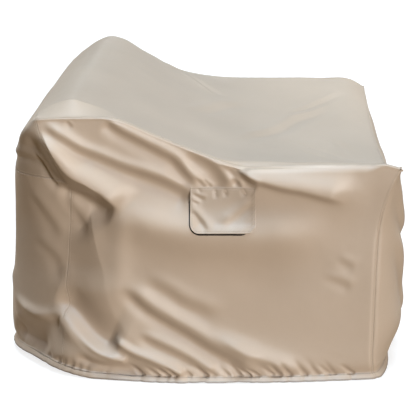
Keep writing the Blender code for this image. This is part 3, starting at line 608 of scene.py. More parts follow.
def offset_wall(plan, z, folds, lip=0.0):
    """The wall's points, moved out of their plan outline by its folds and the corner's lip."""
    tangent = np.gradient(plan, axis=1)
    normal = unit(np.stack((tangent[..., 1], -tangent[..., 0]), axis=-1))
    if np.sum(normal * plan) < 0:
        normal = -normal
    below_edge = 1 - RISE[:, None]
    offset = folds * smooth_step(below_edge / FOLDS_FADE)
    offset = offset + lip * smooth_step(below_edge / LIP_FADE)
    return np.concatenate((plan + normal * offset[..., None], z[..., None]), axis=-1)


def end_wall(outline, name):
    plan, z = wall_plan(outline)
    across = plan[..., 1]
    folds = folds_of(name, across, z) + gathers_of(name, across, z - z[:1])
    return offset_wall(plan, z, folds, lip_height(across, z))


def front_wall():
    plan, z = wall_plan(front_outline)
    across = plan[..., 0]
    folds = folds_of("front", across, z) + gathers_of("front", across, z - z[:1])
    return offset_wall(plan, z, folds)


def run_from_seam(plan):
    """Across of the near and the far folds on the back: Y, run on from the corner seam."""
    steps = np.linalg.norm(np.diff(plan, axis=1), axis=-1)
    start = np.zeros((len(plan), 1))
    return plan[:, :1, 1] + np.concatenate((start, np.cumsum(steps, axis=1)), axis=1)


def back_wall():
    plan, z = wall_plan(back_outline)
    over_hem = z - z[:1]
    from_near = run_from_seam(plan)
    from_far = run_from_seam(plan[:, ::-1])[:, ::-1]
    folds = folds_of("back", plan[..., 0], z) + gathers_of("back", plan[..., 0], over_hem)
    folds += folds_of("near", from_near, z) + gathers_of("near", from_near, over_hem)
    folds += folds_of("far", from_far, z) + gathers_of("far", from_far, over_hem)
    return offset_wall(plan, z, folds, lip_height(from_near, z) + lip_height(from_far, z))


def top_grid(near, far, front, back):
    """The top between the four walls' upper edges: first index from the back, second along X."""
    u, v = LONG[None, :, None], DEEP[:, None, None]
    sides = back[None] * (1 - v) + front[None] * v
    ends = near[:, None] * (1 - u) + far[:, None] * u
    corners = (near[0] * (1 - v) + near[-1] * v) * (1 - u)
    corners = corners + (far[0] * (1 - v) + far[-1] * v) * u
    grid = sides + ends - corners
    x, y = grid[..., 0], grid[..., 1]
    off_edge = smooth_step(np.minimum(u, 1 - u) / CREASE_FADE)
    off_edge = off_edge * smooth_step(np.minimum(v, 1 - v) / CREASE_FADE)
    creases = sum(
        fold_height(x, y, (width, width), ridge, tilt, TOP_FOLD_ENDS, points)
        for width, ridge, tilt, points in TOP_FOLDS
    )
    return np.stack((x, y, top_height(x, y) + creases * off_edge[..., 0]), axis=-1)


def from_side(grid, side):
    """The same grid, turned so that the given side is its first row."""
    if side in ("left", "right"):
        grid = grid.swapaxes(0, 1)
    return grid[::-1] if side in ("top", "right") else grid


def run_from(grid, side):
    """Length along the cloth from a side to each point."""
    run = np.zeros(grid.shape[:2])
    from_side(run, side)[:] = lengths_along(from_side(grid, side), 0)
    return run


def turn_edge(grid, side, radius):
    """Rounds a panel towards a side, by half of a right angle."""
    normal = from_side(normals_of(grid), side)
    view = from_side(grid, side)
    run = lengths_along(view, 0)
    radius = np.broadcast_to(radius, run.shape)
    turn = math.pi / 4 * np.clip(1 - run / radius, 0.0, 1.0)
    slide = np.where(run < radius, radius * (1 - np.sin(turn)) - run, 0.0)
    sink = radius * (1 - np.cos(turn))
    view += unit(np.gradient(view, axis=0)) * slide[..., None] - normal * sink[..., None]


def weld(one, other):
    """Brings the first rows of two panels together. The shift dies out over a few rows."""
    shift = (other[0] - one[0]) / 2
    for row in range(WELD_ROWS):
        share = (1 - row / WELD_ROWS) ** 2
        one[row] += shift * share
        other[row] -= shift * share


def sewn(grid, seams, stitched, hemmed, seed):
    """A panel with its seams' grooves, its stitches' dents, its hem band and its unevenness."""
    out = np.zeros(grid.shape[:2])
    across, up = run_from(grid, "left"), run_from(grid, "bottom")
    clear = np.ones(grid.shape[:2])
    for side in seams:
        run = run_from(grid, side)
        along = across if side in ("bottom", "top") else up
        deep = SEAM_DEPTH if side in ("bottom", "top") else CORNER_SEAM_DEPTH
        out -= deep * (bell(run / SEAM_HALF) - SEAM_RIM * bell((run - SEAM_RIM_AT) / SEAM_RIM_HALF))
        pucker = noise(along / SEAM_PUCKER_SIZE[0], run / SEAM_PUCKER_SIZE[1], seed)
        out += SEAM_PUCKER * pucker * np.exp(-run / SEAM_PUCKER_REACH)
        if side in stitched:
            out -= STITCH_DEPTH * bell((run - TOPSTITCH) / STITCH_HALF)
        clear = clear * smooth_step(run / UNEVEN_FROM_SEAM)
    if hemmed:
        out += HEM_PROUD * smooth_step((HEM_WIDTH - up) / HEM_STEP + 0.5)
        out += HEM_FLARE * np.clip(1 - up / HEM_WIDTH, 0.0, 1.0)
        out -= 2 * STITCH_DEPTH * bell((up - HEM_WIDTH) / STITCH_HALF)
        out -= HEM_PULL * bell((up - HEM_WIDTH) / HEM_PULL_REACH)
        pucker = noise(across / HEM_PUCKER_SIZE[0], up / HEM_PUCKER_SIZE[1], seed + 1)
        out += HEM_PUCKER * pucker * bell((up - HEM_WIDTH) / HEM_PUCKER_REACH)
        clear = clear * smooth_step(up / UNEVEN_FROM_HEM)
    for number, (size, height) in enumerate(UNEVEN):
        out += height * clear * noise(across / size, up / size, seed + 2 + number)
    moved = grid + normals_of(grid) * out[..., None]
    if hemmed:
        moved[..., 2] += HEM_PROUD * (1 - smooth_step(up / HEM_WIDTH))
    return moved


def rest_on_floor(grid, clear):
    """Lifts a hemmed panel's columns that dip to the floor. The lift dies out up the cloth."""
    low = grid[..., 2].min(axis=0)
    fade = 1 - smooth_step((grid[..., 2] - low) / HEM_CLEAR_REACH)
    grid[..., 2] += np.maximum(0.0, clear - low) * fade


def turned_in(grid, side, steps):
    """A panel with rows added past a side. Steps are (inward, back over the cloth)."""
    normal = from_side(normals_of(grid), side)[0]
    view = from_side(grid, side)
    back = unit(view[1] - view[0])
    added = np.array([view[0] - normal * inward + back * over for inward, over in steps[::-1]])
    if side in ("left", "right"):
        added = added.swapaxes(0, 1)
        parts = (added, grid) if side == "left" else (grid, added[:, ::-1])
        return np.concatenate(parts, axis=1)
    parts = (added, grid) if side == "bottom" else (grid, added[::-1])
    return np.concatenate(parts, axis=0)


SEAM_TURN = ((0.0012, -0.0004), (0.0030, 0.0), (ALLOWANCE, 0.0))
HEM_TURN = ((0.0007, -0.0007), (0.0016, -0.0002), (0.0018, 0.006), (0.0018, HEM_WIDTH))
SIDES = ("left", "right", "bottom", "top")


def outline_distance(y, z, middle, top, width, height, corner):
    """Distance of a place to a rectangle with round corners on the near end, negative inside."""
    off_y = np.abs(y - middle) - (width / 2 - corner)
    off_z = np.abs(z - top + height / 2) - (height / 2 - corner)
    outside = np.hypot(np.maximum(off_y, 0.0), np.maximum(off_z, 0.0))
    return outside + np.minimum(np.maximum(off_y, off_z), 0.0) - corner


def window_distance(y, z):
    return outline_distance(
        y, z, WINDOW_Y, WINDOW_TOP_Z, WINDOW_WIDTH, WINDOW_HEIGHT, WINDOW_CORNER)


def cut_window(grid):
    """Which cells of the near end stay around the window. Its border is moved onto the outline."""
    distance = window_distance(grid[..., 1], grid[..., 2])
    inside = distance < 0.0
    gone = inside[:-1, :-1] & inside[1:, :-1] & inside[:-1, 1:] & inside[1:, 1:]
    by_gone = np.zeros(inside.shape, bool)
    by_kept = np.zeros(inside.shape, bool)
    for row in (0, 1):
        for column in (0, 1):
            rows = slice(row, inside.shape[0] - 1 + row)
            columns = slice(column, inside.shape[1] - 1 + column)
            by_gone[rows, columns] |= gone
            by_kept[rows, columns] |= ~gone
    border = by_gone & by_kept
    along_rows, along_columns = np.gradient(grid, axis=0), np.gradient(grid, axis=1)
    nudge = 0.0005
    slope_y = (window_distance(grid[..., 1] + nudge, grid[..., 2]) - distance) / nudge
    slope_z = (window_distance(grid[..., 1], grid[..., 2] + nudge) - distance) / nudge
    for row, column in zip(*np.nonzero(border)):
        shift = -distance[row, column] * np.array((slope_y[row, column], slope_z[row, column]))
        sides = np.stack((along_rows[row, column], along_columns[row, column]), axis=1)
        grid[row, column] += sides @ np.linalg.solve(sides[1:], shift)
    return ~gone


def make_piece(name, vertices, faces, uv=None):
    """A mesh object from points in the tables' coordinates, and which of the points it keeps."""
    used, corners = np.unique(faces, return_inverse=True)
    faces = corners.reshape(faces.shape)
    data = bpy.data.meshes.new(name)
    data.from_pydata((vertices[used] - (0.0, ORIGIN_Y, 0.0)).tolist(), [], faces.tolist())
    if uv is not None:
        layer = data.uv_layers.new(name="cloth")
        layer.data.foreach_set("uv", uv[used][faces.ravel()].astype(np.float32).ravel())
    data.shade_smooth()
    piece = bpy.data.objects.new(name, data)
    bpy.context.scene.collection.objects.link(piece)
    return piece, used


def cells(rows, columns, first=0):
    """The four-sided faces of a grid of points."""
    index = first + np.arange(rows * columns).reshape(rows, columns)
    return np.stack((index[:-1, :-1], index[:-1, 1:], index[1:, 1:], index[1:, :-1]), axis=-1)


def facing_out(grid):
    """Whether the cells of a grid face away from the middle of the sofa."""
    raw = np.cross(np.gradient(grid, axis=1), np.gradient(grid, axis=0))
    return np.sum(raw * (grid - INSIDE)) > 0


def sheet_piece(name, grid, from_seam, kept=None):
    """A panel's mesh object, laid out in metres along the cloth, with its distance from a seam."""
    faces = cells(*grid.shape[:2])
    faces = faces[kept] if kept is not None else faces.reshape(-1, 4)
    if not facing_out(grid):
        faces = faces[:, ::-1]
    uv = np.stack((run_from(grid, "left"), run_from(grid, "bottom")), axis=-1).reshape(-1, 2)
    piece, used = make_piece(name, grid.reshape(-1, 3), faces, uv)
    layer = piece.data.attributes.new("from_seam", "FLOAT", "POINT")
    layer.data.foreach_set("value", from_seam.ravel()[used].astype(np.float32))
    return piece


def line_beside(grid, side, distance, rows=30):
    """Points and normals of the cloth at a distance from a side."""
    run = from_side(run_from(grid, side), side)[:rows]
    lines = []
    for values in (from_side(grid, side)[:rows], from_side(normals_of(grid), side)[:rows]):
        lines.append(np.array([
            [np.interp(distance, run[:, column], values[:, column, axis]) for axis in range(3)]
            for column in range(run.shape[1])
        ]))
    return lines[0], unit(lines[1])


# Rings of a stitch: share of its length, lift over the cloth and size, both in thread radii
STITCH_RINGS = ((0.0, -0.7, 0.55), (0.22, 0.30, 1.0), (0.78, 0.30, 1.0), (1.0, -0.7, 0.55))
STITCH_SIDES = 6


def stitches_along(line, normals):
    """Stitches of thread along a line on the cloth: their points and faces."""
    run = lengths_along(line, 0)
    starts = np.arange(FIRST_STITCH, run[-1] / STITCH_PITCH - 1) * STITCH_PITCH

    def read(values, at):
        return np.stack([np.interp(at, run, values[:, axis]) for axis in range(3)], axis=-1)

    begin, end = read(line, starts), read(line, starts + STITCH_LENGTH)
    out = unit(read(normals, starts + STITCH_LENGTH / 2))
    beside = unit(np.cross(unit(end - begin), out))
    turns = 2 * math.pi * np.arange(STITCH_SIDES) / STITCH_SIDES
    rings = []
    for share, lift, size in STITCH_RINGS:
        middle = begin + (end - begin) * share + out * (lift * STITCH_RADIUS)
        spokes = out[:, None] * np.cos(turns)[:, None]
        spokes = spokes + beside[:, None] * np.sin(turns)[:, None]
        rings.append(middle[:, None] + spokes * (size * STITCH_RADIUS))
    points = np.stack(rings, axis=1)
    index = np.arange(points[..., 0].size).reshape(points.shape[:3])
    around = np.roll(index, -1, axis=2)
    faces = np.stack((index[:, :-1], index[:, 1:], around[:, 1:], around[:, :-1]), axis=-1)
    return points.reshape(-1, 3), faces.reshape(-1, 4)


def stitch_piece(name, lines):
    """All the stitches of a piece of cloth, as one mesh."""
    points, faces, count = [], [], 0
    for line, normals in lines:
        some_points, some_faces = stitches_along(line, normals)
        points.append(some_points)
        faces.append(some_faces + count)
        count += len(some_points)
    piece, _ = make_piece(name, np.concatenate(points), np.concatenate(faces))
    return piece


def blurred(values, times):
    """A grid of values, smoothed a number of times."""
    for _ in range(times):
        wide = np.pad(values, 1, mode="edge")
        beside = wide[:-2, 1:-1] + wide[2:, 1:-1] + wide[1:-1, :-2] + wide[1:-1, 2:]
        values = (beside + 4 * values) / 8
    return values


def tree_of(grid):
    faces = cells(*grid.shape[:2]).reshape(-1, 4)
    return BVHTree.FromPolygons(grid.reshape(-1, 3).tolist(), faces.tolist())


def hits_on(tree, y, z):
    """Points and normals where rays along X meet a sheet from the near end's side."""
    hits = [
        tree.ray_cast(Vector((RAY_FROM, float(a), float(b))), Vector((1.0, 0.0, 0.0)))
        for a, b in zip(np.ravel(y), np.ravel(z))
    ]
    points = np.array([tuple(hit[0]) for hit in hits])
    normals = np.array([tuple(hit[1]) for hit in hits])
    return points, normals * -np.sign(normals[:, :1])


def cast_on(tree, y, z):
    """X of the near end's outer side over places."""
    return hits_on(tree, y, z)[0][:, 0].reshape(np.shape(y))


def flap_grids(end_tree):
    """Outer and inner points of the vent's flap, rows from its sewn top down."""
    down = FLAP_HEIGHT * shares(*FLAP_ROWS)[:, None]
    across = shares(*FLAP_COLUMNS)[None, :]
    reach = [
        FLAP_WIDTH / 2 - corner
        + np.sqrt(corner**2 - np.maximum(0.0, down - FLAP_HEIGHT + corner) ** 2)
        for corner in (FLAP_REAR_CORNER, FLAP_FRONT_CORNER)
    ]
    y = VENT_Y + reach[0] * (1 - across) - reach[1] * across
    z = FLAP_TOP_Z - down + 0 * y
    corner = np.where(y > VENT_Y, FLAP_REAR_CORNER, FLAP_FRONT_CORNER)
    above = 0.05  # the rectangle below reaches past the top, so that only three sides count
    edge = -outline_distance(
        y, z, VENT_Y, FLAP_TOP_Z + above, FLAP_WIDTH, FLAP_HEIGHT + above, corner)
    edge = np.maximum(edge, 0.0)
    from_rear = VENT_Y + FLAP_WIDTH / 2 - y
    from_front = FLAP_WIDTH - from_rear
    from_bottom = z - FLAP_TOP_Z + FLAP_HEIGHT
    panel = cast_on(end_tree, y, z)
    base = np.minimum(blurred(panel, FLAP_SMOOTHING), panel + FLAP_SMOOTHING_ROOM)
    loose = np.maximum(bell(from_rear / FLAP_LOOSE_REACH), bell(from_bottom / FLAP_LOOSE_REACH))
    loose = loose * smooth_step(down / FLAP_LOOSE_BELOW)
    loose = loose * smooth_step(from_front / FLAP_LOOSE_BEHIND)
    out = FLAP_SEWN_OFF + FLAP_LOOSE_OFF * loose
    for width, ridge, tilt, points in FLAP_FOLDS:
        widths = (width, width)
        out = out + fold_height(from_rear, -down + 0 * y, widths, ridge, tilt, FLAP_FOLD_ENDS, points)
    sewn_rows = bell((edge - FLAP_BORDER) / STITCH_HALF) + bell((down - FLAP_SEWN_DROP) / STITCH_HALF)
    out -= STITCH_DEPTH * sewn_rows
    side = np.where(from_front < FLAP_PUCKER_FRONT, 1.0, FLAP_PUCKER_SHARE)
    wave = 0.5 + 0.5 * np.cos(2 * math.pi * (y + z) / FLAP_SCALLOP)
    crest = bell((edge - FLAP_PUCKER_AT) / FLAP_PUCKER_HALF)
    out += FLAP_PUCKER * side * wave * crest * smooth_step(down / FLAP_PUCKER_FADE)
    half = FLAP_THICK / 2
    round_edge = 1 - np.clip(1 - np.minimum(edge, down) / half, 0.0, 1.0) ** 2
    thick = half * np.sqrt(round_edge)
    return [np.stack((base - out - sign * thick, y, z), axis=-1) for sign in (1, -1)]


def flap_line():
    """The flap's border stitches: down its rear side, along below and up its front side."""
    half, low = FLAP_WIDTH / 2 - FLAP_BORDER, FLAP_TOP_Z - FLAP_HEIGHT + FLAP_BORDER
    start_z = FLAP_TOP_Z - FLAP_STITCH_FROM
    path = [(VENT_Y + half, start_z)]
    for corner, sign in ((FLAP_REAR_CORNER, 1), (FLAP_FRONT_CORNER, -1)):
        radius = corner - FLAP_BORDER
        turns = np.linspace(0.0, math.pi / 2, STITCH_ARC_POINTS)
        arc_y = VENT_Y + sign * (half - radius + radius * np.cos(turns))
        arc_z = low + radius - radius * np.sin(turns)
        path += list(zip(arc_y, arc_z))[::sign]
    path.append((VENT_Y - half, start_z))
    path = np.array(path)
    run = lengths_along(path, 0)
    at = np.arange(0.0, run[-1], STITCH_LINE_STEP)
    return np.interp(at, run, path[:, 0]), np.interp(at, run, path[:, 1])


# The five panels' shapes
near = end_wall(near_outline, "near")
far = end_wall(far_outline, "far")
front = front_wall()
back = back_wall()
weld(from_side(near, "left"), from_side(back, "left"))
weld(from_side(far, "left"), from_side(back, "right"))
weld(from_side(near, "right"), from_side(front, "left"))
weld(from_side(far, "right"), from_side(front, "right"))
top = top_grid(near[-1], far[-1], front[-1], back[-1])
edge_y = top[:, 0, 1]
on_slope = smooth_step((FACET_FROM - edge_y) / FACET_FADE)
end_radius = FACET_EDGE + (SLOPE_EDGE - FACET_EDGE) * on_slope
over_arm = smooth_step((ARM_FROM - edge_y) / ARM_FADES[0])
over_arm = over_arm * smooth_step((edge_y - ARM_FRONT) / ARM_FADES[1])
end_radius += (ARM_EDGE - SLOPE_EDGE) * over_arm
for end, side, radius in ((near, "left", end_radius), (far, "right", FAR_EDGE)):
    turn_edge(end, "top", radius)
    turn_edge(top, side, radius)
turn_edge(front, "top", FRONT_TOP_EDGE)
turn_edge(top, "top", FRONT_TOP_EDGE)
turn_edge(back, "top", CREST_EDGE)
turn_edge(top, "bottom", CREST_EDGE)
change_from, change_to = FRONT_CORNER_RISES
upper = smooth_step((RISE - change_from) / (change_to - change_from))
corner_radius = FRONT_CORNER[0] + (FRONT_CORNER[1] - FRONT_CORNER[0]) * upper
for end, side in ((near, "left"), (far, "right")):
    turn_edge(end, "right", corner_radius)
    turn_edge(front, side, corner_radius)
weld(from_side(back, "top"), from_side(top, "bottom"))

# Each panel: its node, points, sides with a seam, sides with topstitches beside it, whether it
# has a hem, material slot, flat size, and the cut's area
hanging = len(RISE) - 1 - CROSS_SEAM_ROW  # rows of the back that belong to the top
BESIDE = ("left", "right")
NOT_HEM = ("left", "right", "top")
PANELS = {
    "near_end_panel": (near, NOT_HEM, BESIDE, True, "cloth_near_end", (0.99, 0.76), 0.62),
    "far_end_panel": (far, NOT_HEM, BESIDE, True, "cloth_far_end", (0.99, 0.76), 0.62),
    "front_skirt": (front, NOT_HEM, (), True, "cloth_front", (1.40, 0.63), 0.80),
    "back_skirt": (back[: CROSS_SEAM_ROW + 1], NOT_HEM, (), True, "cloth_back", (2.05, 0.53), 0.90),
    "top_panel": (np.concatenate((back[CROSS_SEAM_ROW:-1], top)), SIDES, SIDES, False, "cloth_top",
                  (1.42, 1.36), 1.75),
}
shapes = {
    name: sewn(grid, seams, stitched, hemmed, 10 * number)
    for number, (name, (grid, seams, stitched, hemmed, *_)) in enumerate(PANELS.items())
}
near, far, front = shapes["near_end_panel"], shapes["far_end_panel"], shapes["front_skirt"]
skirt, top = shapes["back_skirt"], shapes["top_panel"]
for end, side, front_side in ((near, "left", "left"), (far, "right", "right")):
    weld(from_side(end, "left")[:, : CROSS_SEAM_ROW + 1], from_side(skirt, side))
    weld(from_side(end, "left")[:, CROSS_SEAM_ROW:], from_side(top, side)[:, : hanging + 1])
    weld(from_side(end, "top"), from_side(top, side)[:, hanging:])
    weld(from_side(end, "right"), from_side(front, front_side))
weld(from_side(front, "top"), from_side(top, "top"))
weld(from_side(skirt, "top"), from_side(top, "bottom"))
for panel in (near, far, front, skirt):
    rest_on_floor(panel, HEM_CLEAR)
end_tree = tree_of(near)


def nodes_of(name, roughness, specular, sheen=0.0, sheen_roughness=0.5):
    """A material with its shader's even values set, and a helper to add nodes to it."""
    finish = bpy.data.materials.new(name)
    finish.use_nodes = True
    tree = finish.node_tree
    shader = tree.nodes["Principled BSDF"]
    shader.inputs["Roughness"].default_value = roughness
    shader.inputs["Specular IOR Level"].default_value = specular
    shader.inputs["Sheen Weight"].default_value = sheen
    shader.inputs["Sheen Roughness"].default_value = sheen_roughness

    def add(kind, settings=None, **inputs):
        node = tree.nodes.new(kind)
        for key, value in (settings or {}).items():
            setattr(node, key, value)
        for key, value in inputs.items():
            socket = node.inputs[int(key[1:]) if key[1:].isdigit() else key.replace("_", " ")]
            if isinstance(value, bpy.types.NodeSocket):
                tree.links.new(value, socket)
            else:
                socket.default_value = value
        return node

    return finish, shader, add


def mixed(add, factor, one, other):
    """Two colours, mixed by a factor."""
    node = add("ShaderNodeMix", {"data_type": "RGBA"})
    tree = node.id_data
    for socket, value in ((node.inputs[0], factor), (node.inputs[6], one), (node.inputs[7], other)):
        if isinstance(value, bpy.types.NodeSocket):
            tree.links.new(value, socket)
        else:
            socket.default_value = value
    return node.outputs[2]


def linked(node_input, value):
    node_input.id_data.links.new(value, node_input)


def ramp(add, value, start, end, low, high):
    """A value, mapped from start to end onto low to high."""
    return add("ShaderNodeMapRange", _0=value, _1=start, _2=end, _3=low, _4=high).outputs[0]


def toned(colour, factor=1.0):
    """A colour made darker or lighter, with its alpha."""
    return (*(min(1.0, channel * factor) for channel in colour), 1)


THREAD_PITCH = 0.00062       # of the cloth's yarns
PLY_PITCH = 0.0004           # of the sewing thread's plies
WAVE_PERIOD = 0.314159       # length of one wave of Blender's wave texture at scale 1
YARN_SCALES = ((900.0, 18.0, 1.0), (18.0, 900.0, 1.0))  # uneven yarns one way and the other
CLOUDS = (4.5, 3.0, 0.55)    # noise of the cloth's tone: scale, detail, roughness
SOFT_CREASES = (26.0, 4.0, 0.5)  # and of its faint relief
NET_SCALE = 620.0            # of the net's holes
ROUGHNESS = 0.46
SHADE, LIGHT = 0.90, 1.08    # tones of the cloth's darker and lighter clouds
DARK_YARN = 0.80
# tone of the darker strip beside each seam, and of the painted shade along the hem's stitches
DARK_LINE_TONE = 0.66
# tone of the painted shade at the hem's lower edge and on the cloth turned under it
PAINTED_HEM_SHADE = 0.42
SEAM_DARKENING_REACH = 0.0050          # how far the darker tone reaches from a seam
HEM_EDGE_V = 0.0192          # the hem's edge and its stitches, up the cloth from its turned-in end
HEM_STITCH_V = HEM_EDGE_V + HEM_WIDTH
HEM_EDGE_SHADE_FADE = (HEM_EDGE_V + 0.0016, HEM_EDGE_V + 0.0052)  # where the painted shade at the hem's lower edge starts to fade and is gone
STITCH_SHADE_FADE = (0.0005, 0.0026)      # the same for the painted shade along the hem's stitches, to both sides of them


def cloth(name, colour, specular=0.5, hemmed=False):
    """Coated woven polyester: a fine weave, uneven yarns, soft creases, a darker tone by the seams
    and painted shade along the hem.
    """
    finish, shader, add = nodes_of(name, ROUGHNESS, specular, 0.12, 0.45)
    place = add("ShaderNodeUVMap", {"uv_map": "cloth"}).outputs["UV"]
    waves = [
        add("ShaderNodeTexWave", {"wave_type": "BANDS", "bands_direction": axis}, Vector=place,
            Scale=WAVE_PERIOD / THREAD_PITCH, Distortion=0.0).outputs["Fac"]
        for axis in "XY"
    ]
    over = add("ShaderNodeTexChecker", Vector=place, Scale=1 / THREAD_PITCH).outputs["Fac"]
    weave = mixed(add, over, *waves)
    yarns = []
    for stretch in YARN_SCALES:
        run = add("ShaderNodeVectorMath", {"operation": "MULTIPLY"}, _0=place, _1=stretch).outputs[0]
        yarns.append(add("ShaderNodeTexNoise", Vector=run, Scale=1.0, Detail=2.0).outputs["Fac"])
    yarn = mixed(add, 0.5, *yarns)
    cloudy, creases = (
        add("ShaderNodeTexNoise", Vector=place, Scale=scale, Detail=detail, Roughness=rough)
        for scale, detail, rough in (CLOUDS, SOFT_CREASES)
    )
    cloudy, creases = cloudy.outputs["Fac"], creases.outputs["Fac"]
    body = mixed(add, cloudy, toned(colour, SHADE), toned(colour, LIGHT))
    body = mixed(add, ramp(add, yarn, 0.25, 0.75, 0.22, 0.0), body, toned(colour, DARK_YARN))
    # A darker tone within a few millimetres of each seam
    seam = add("ShaderNodeAttribute", {"attribute_name": "from_seam"}).outputs["Fac"]
    body = mixed(add, ramp(add, seam, 0.0, SEAM_DARKENING_REACH, 0.30, 0.0), body, toned(colour, DARK_LINE_TONE))
    # Painted shade: darker along the hem's lower edge, on the cloth turned under it and along the
    # hem's stitches
    if hemmed:
        up = add("ShaderNodeSeparateXYZ", _0=place).outputs["Y"]
        body = mixed(add, ramp(add, up, *HEM_EDGE_SHADE_FADE, 0.85, 0.0), body, toned(colour, PAINTED_HEM_SHADE))
        off = add("ShaderNodeMath", {"operation": "SUBTRACT"}, _0=up, _1=HEM_STITCH_V).outputs[0]
        off = add("ShaderNodeMath", {"operation": "ABSOLUTE"}, _0=off).outputs[0]
        body = mixed(add, ramp(add, off, *STITCH_SHADE_FADE, 0.55, 0.0), body, toned(colour, DARK_LINE_TONE))
    linked(shader.inputs["Base Color"], body)
    rough = ramp(add, cloudy, 0.2, 0.8, ROUGHNESS - 0.04, ROUGHNESS + 0.05)
    linked(shader.inputs["Roughness"], rough)
    soft = add("ShaderNodeBump", Strength=0.35, Distance=0.0012, Height=creases).outputs[0]
    fine = add("ShaderNodeBump", Strength=0.5, Distance=0.00005, Height=weave, Normal=soft)
    linked(shader.inputs["Normal"], fine.outputs[0])
    return finish


def thread(name, colour):
    """Twisted sewing thread: fine slanted plies."""
    finish, shader, add = nodes_of(name, 0.55, 0.4, 0.2)
    place = add("ShaderNodeTexCoord").outputs["Object"]
    plies = add("ShaderNodeTexWave", {"bands_direction": "DIAGONAL"}, Vector=place,
                Scale=WAVE_PERIOD / PLY_PITCH, Distortion=1.0, Detail=1.0).outputs["Fac"]
    linked(shader.inputs["Base Color"], mixed(add, plies, toned(colour, 0.7), toned(colour)))
    bump = add("ShaderNodeBump", Strength=0.5, Distance=0.0001, Height=plies)
    linked(shader.inputs["Normal"], bump.outputs[0])
    return finish


def net(name, colour):
    """Dark knitted net: small round holes in rows, as relief and tone."""
    finish, shader, add = nodes_of(name, 0.75, 0.3, 0.1)
    place = add("ShaderNodeUVMap", {"uv_map": "cloth"}).outputs["UV"]
    holes = add("ShaderNodeTexVoronoi", {"feature": "F1"}, Vector=place, Scale=NET_SCALE,
                Randomness=0.12)
    rim = ramp(add, holes.outputs["Distance"], 0.25, 0.5, 0.0, 1.0)
    linked(shader.inputs["Base Color"], mixed(add, rim, toned(colour, 0.25), toned(colour)))
    bump = add("ShaderNodeBump", Strength=0.6, Distance=0.0003, Height=rim)
    linked(shader.inputs["Normal"], bump.outputs[0])
    return finish


def paper(name):
    """The studio's plain pale floor. It glows, so that shadows on it stay faint."""
    finish, shader, add = nodes_of(name, 0.9, 0.1)
    shader.inputs["Emission Color"].default_value = (1.0, 1.0, 1.0, 1)
    shader.inputs["Emission Strength"].default_value = 0.80
    place = add("ShaderNodeTexCoord").outputs["Object"]
    grain = add("ShaderNodeTexNoise", Vector=place, Scale=3.0, Detail=4.0).outputs["Fac"]
    greys = [(grey, grey, grey, 1) for grey in (0.27, 0.29)]
    linked(shader.inputs["Base Color"], mixed(add, grain, *greys))
    return finish


# Colours: the cloth's the same all round, but the top gets a greyer, slightly darker tone painted for
# how the light falls on it
CLOTH = (0.53, 0.417, 0.318)
TOP_PAINTED_TONE = (0.492, 0.394, 0.306)
TOP_SPECULAR = 0.28
THREAD = (0.40, 0.31, 0.23)
NET = (0.030, 0.024, 0.020)

for node, (_, seams, stitched, hemmed, slot, flat, area) in PANELS.items():
    grid = shapes[node]
    kept = None
    if node == "near_end_panel":
        kept = cut_window(grid)
    lines = [line_beside(grid, side, TOPSTITCH) for side in stitched]
    if hemmed:
        lines.append(line_beside(grid, "bottom", HEM_WIDTH))
    nearest = np.min([run_from(grid, side) for side in seams], axis=0)
    for side in SIDES:
        steps = SEAM_TURN if side in seams else HEM_TURN
        added = len(steps)
        grid = turned_in(grid, side, steps)
        pad = {"left": ((0, 0), (added, 0)), "right": ((0, 0), (0, added)),
               "bottom": ((added, 0), (0, 0)), "top": ((0, added), (0, 0))}[side]
        nearest = np.pad(nearest, pad, mode="edge")
        if kept is not None:
            kept = np.pad(kept, pad, constant_values=True)
    if hemmed:
        rest_on_floor(grid, 0.0)
    piece = sheet_piece("cloth_" + node, grid, nearest, kept)
    # The top panel's own tone is painted light: greyer and darker for how the light falls on the top
    if node == "top_panel":
        finish = cloth(slot, TOP_PAINTED_TONE, specular=TOP_SPECULAR)
    else:
        finish = cloth(slot, CLOTH, hemmed=hemmed)
    piece.data.materials.append(finish)
    stitches = stitch_piece("stitches_" + node, lines)
    stitches.data.materials.append(thread("thread_" + slot, THREAD))
    for each in (piece, stitches):
        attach(each, "root")
    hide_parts(node)

# The vent's flap, sewn over the window
outer, inner = flap_grids(end_tree)
rows, columns = outer.shape[:2]
outer_faces = cells(rows, columns).reshape(-1, 4)
inner_faces = cells(rows, columns, first=rows * columns).reshape(-1, 4)
faces = np.concatenate((outer_faces, inner_faces[:, ::-1]))
if not facing_out(outer):
    faces = faces[:, ::-1]
points = np.concatenate((outer.reshape(-1, 3), inner.reshape(-1, 3)))
flap_uv = np.stack((-points[:, 1], points[:, 2]), axis=-1)
flap, _ = make_piece("cloth_vent_flap", points, faces, uv=flap_uv)
flap.data.materials.append(cloth("cloth_flap", CLOTH))
flap_tree = tree_of(outer)
sewn_half = FLAP_WIDTH / 2 - FLAP_SEWN_INSET
sewn_y = np.arange(VENT_Y + sewn_half, VENT_Y - sewn_half, -STITCH_LINE_STEP)
flap_stitches = stitch_piece("stitches_vent_flap", [
    hits_on(flap_tree, *flap_line()),
    hits_on(flap_tree, sewn_y, np.full(len(sewn_y), FLAP_TOP_Z - FLAP_SEWN_DROP)),
])
flap_stitches.data.materials.append(thread("thread_flap", THREAD))
for each in (flap, flap_stitches):
    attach(each, "root")
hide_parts("vent_flap")

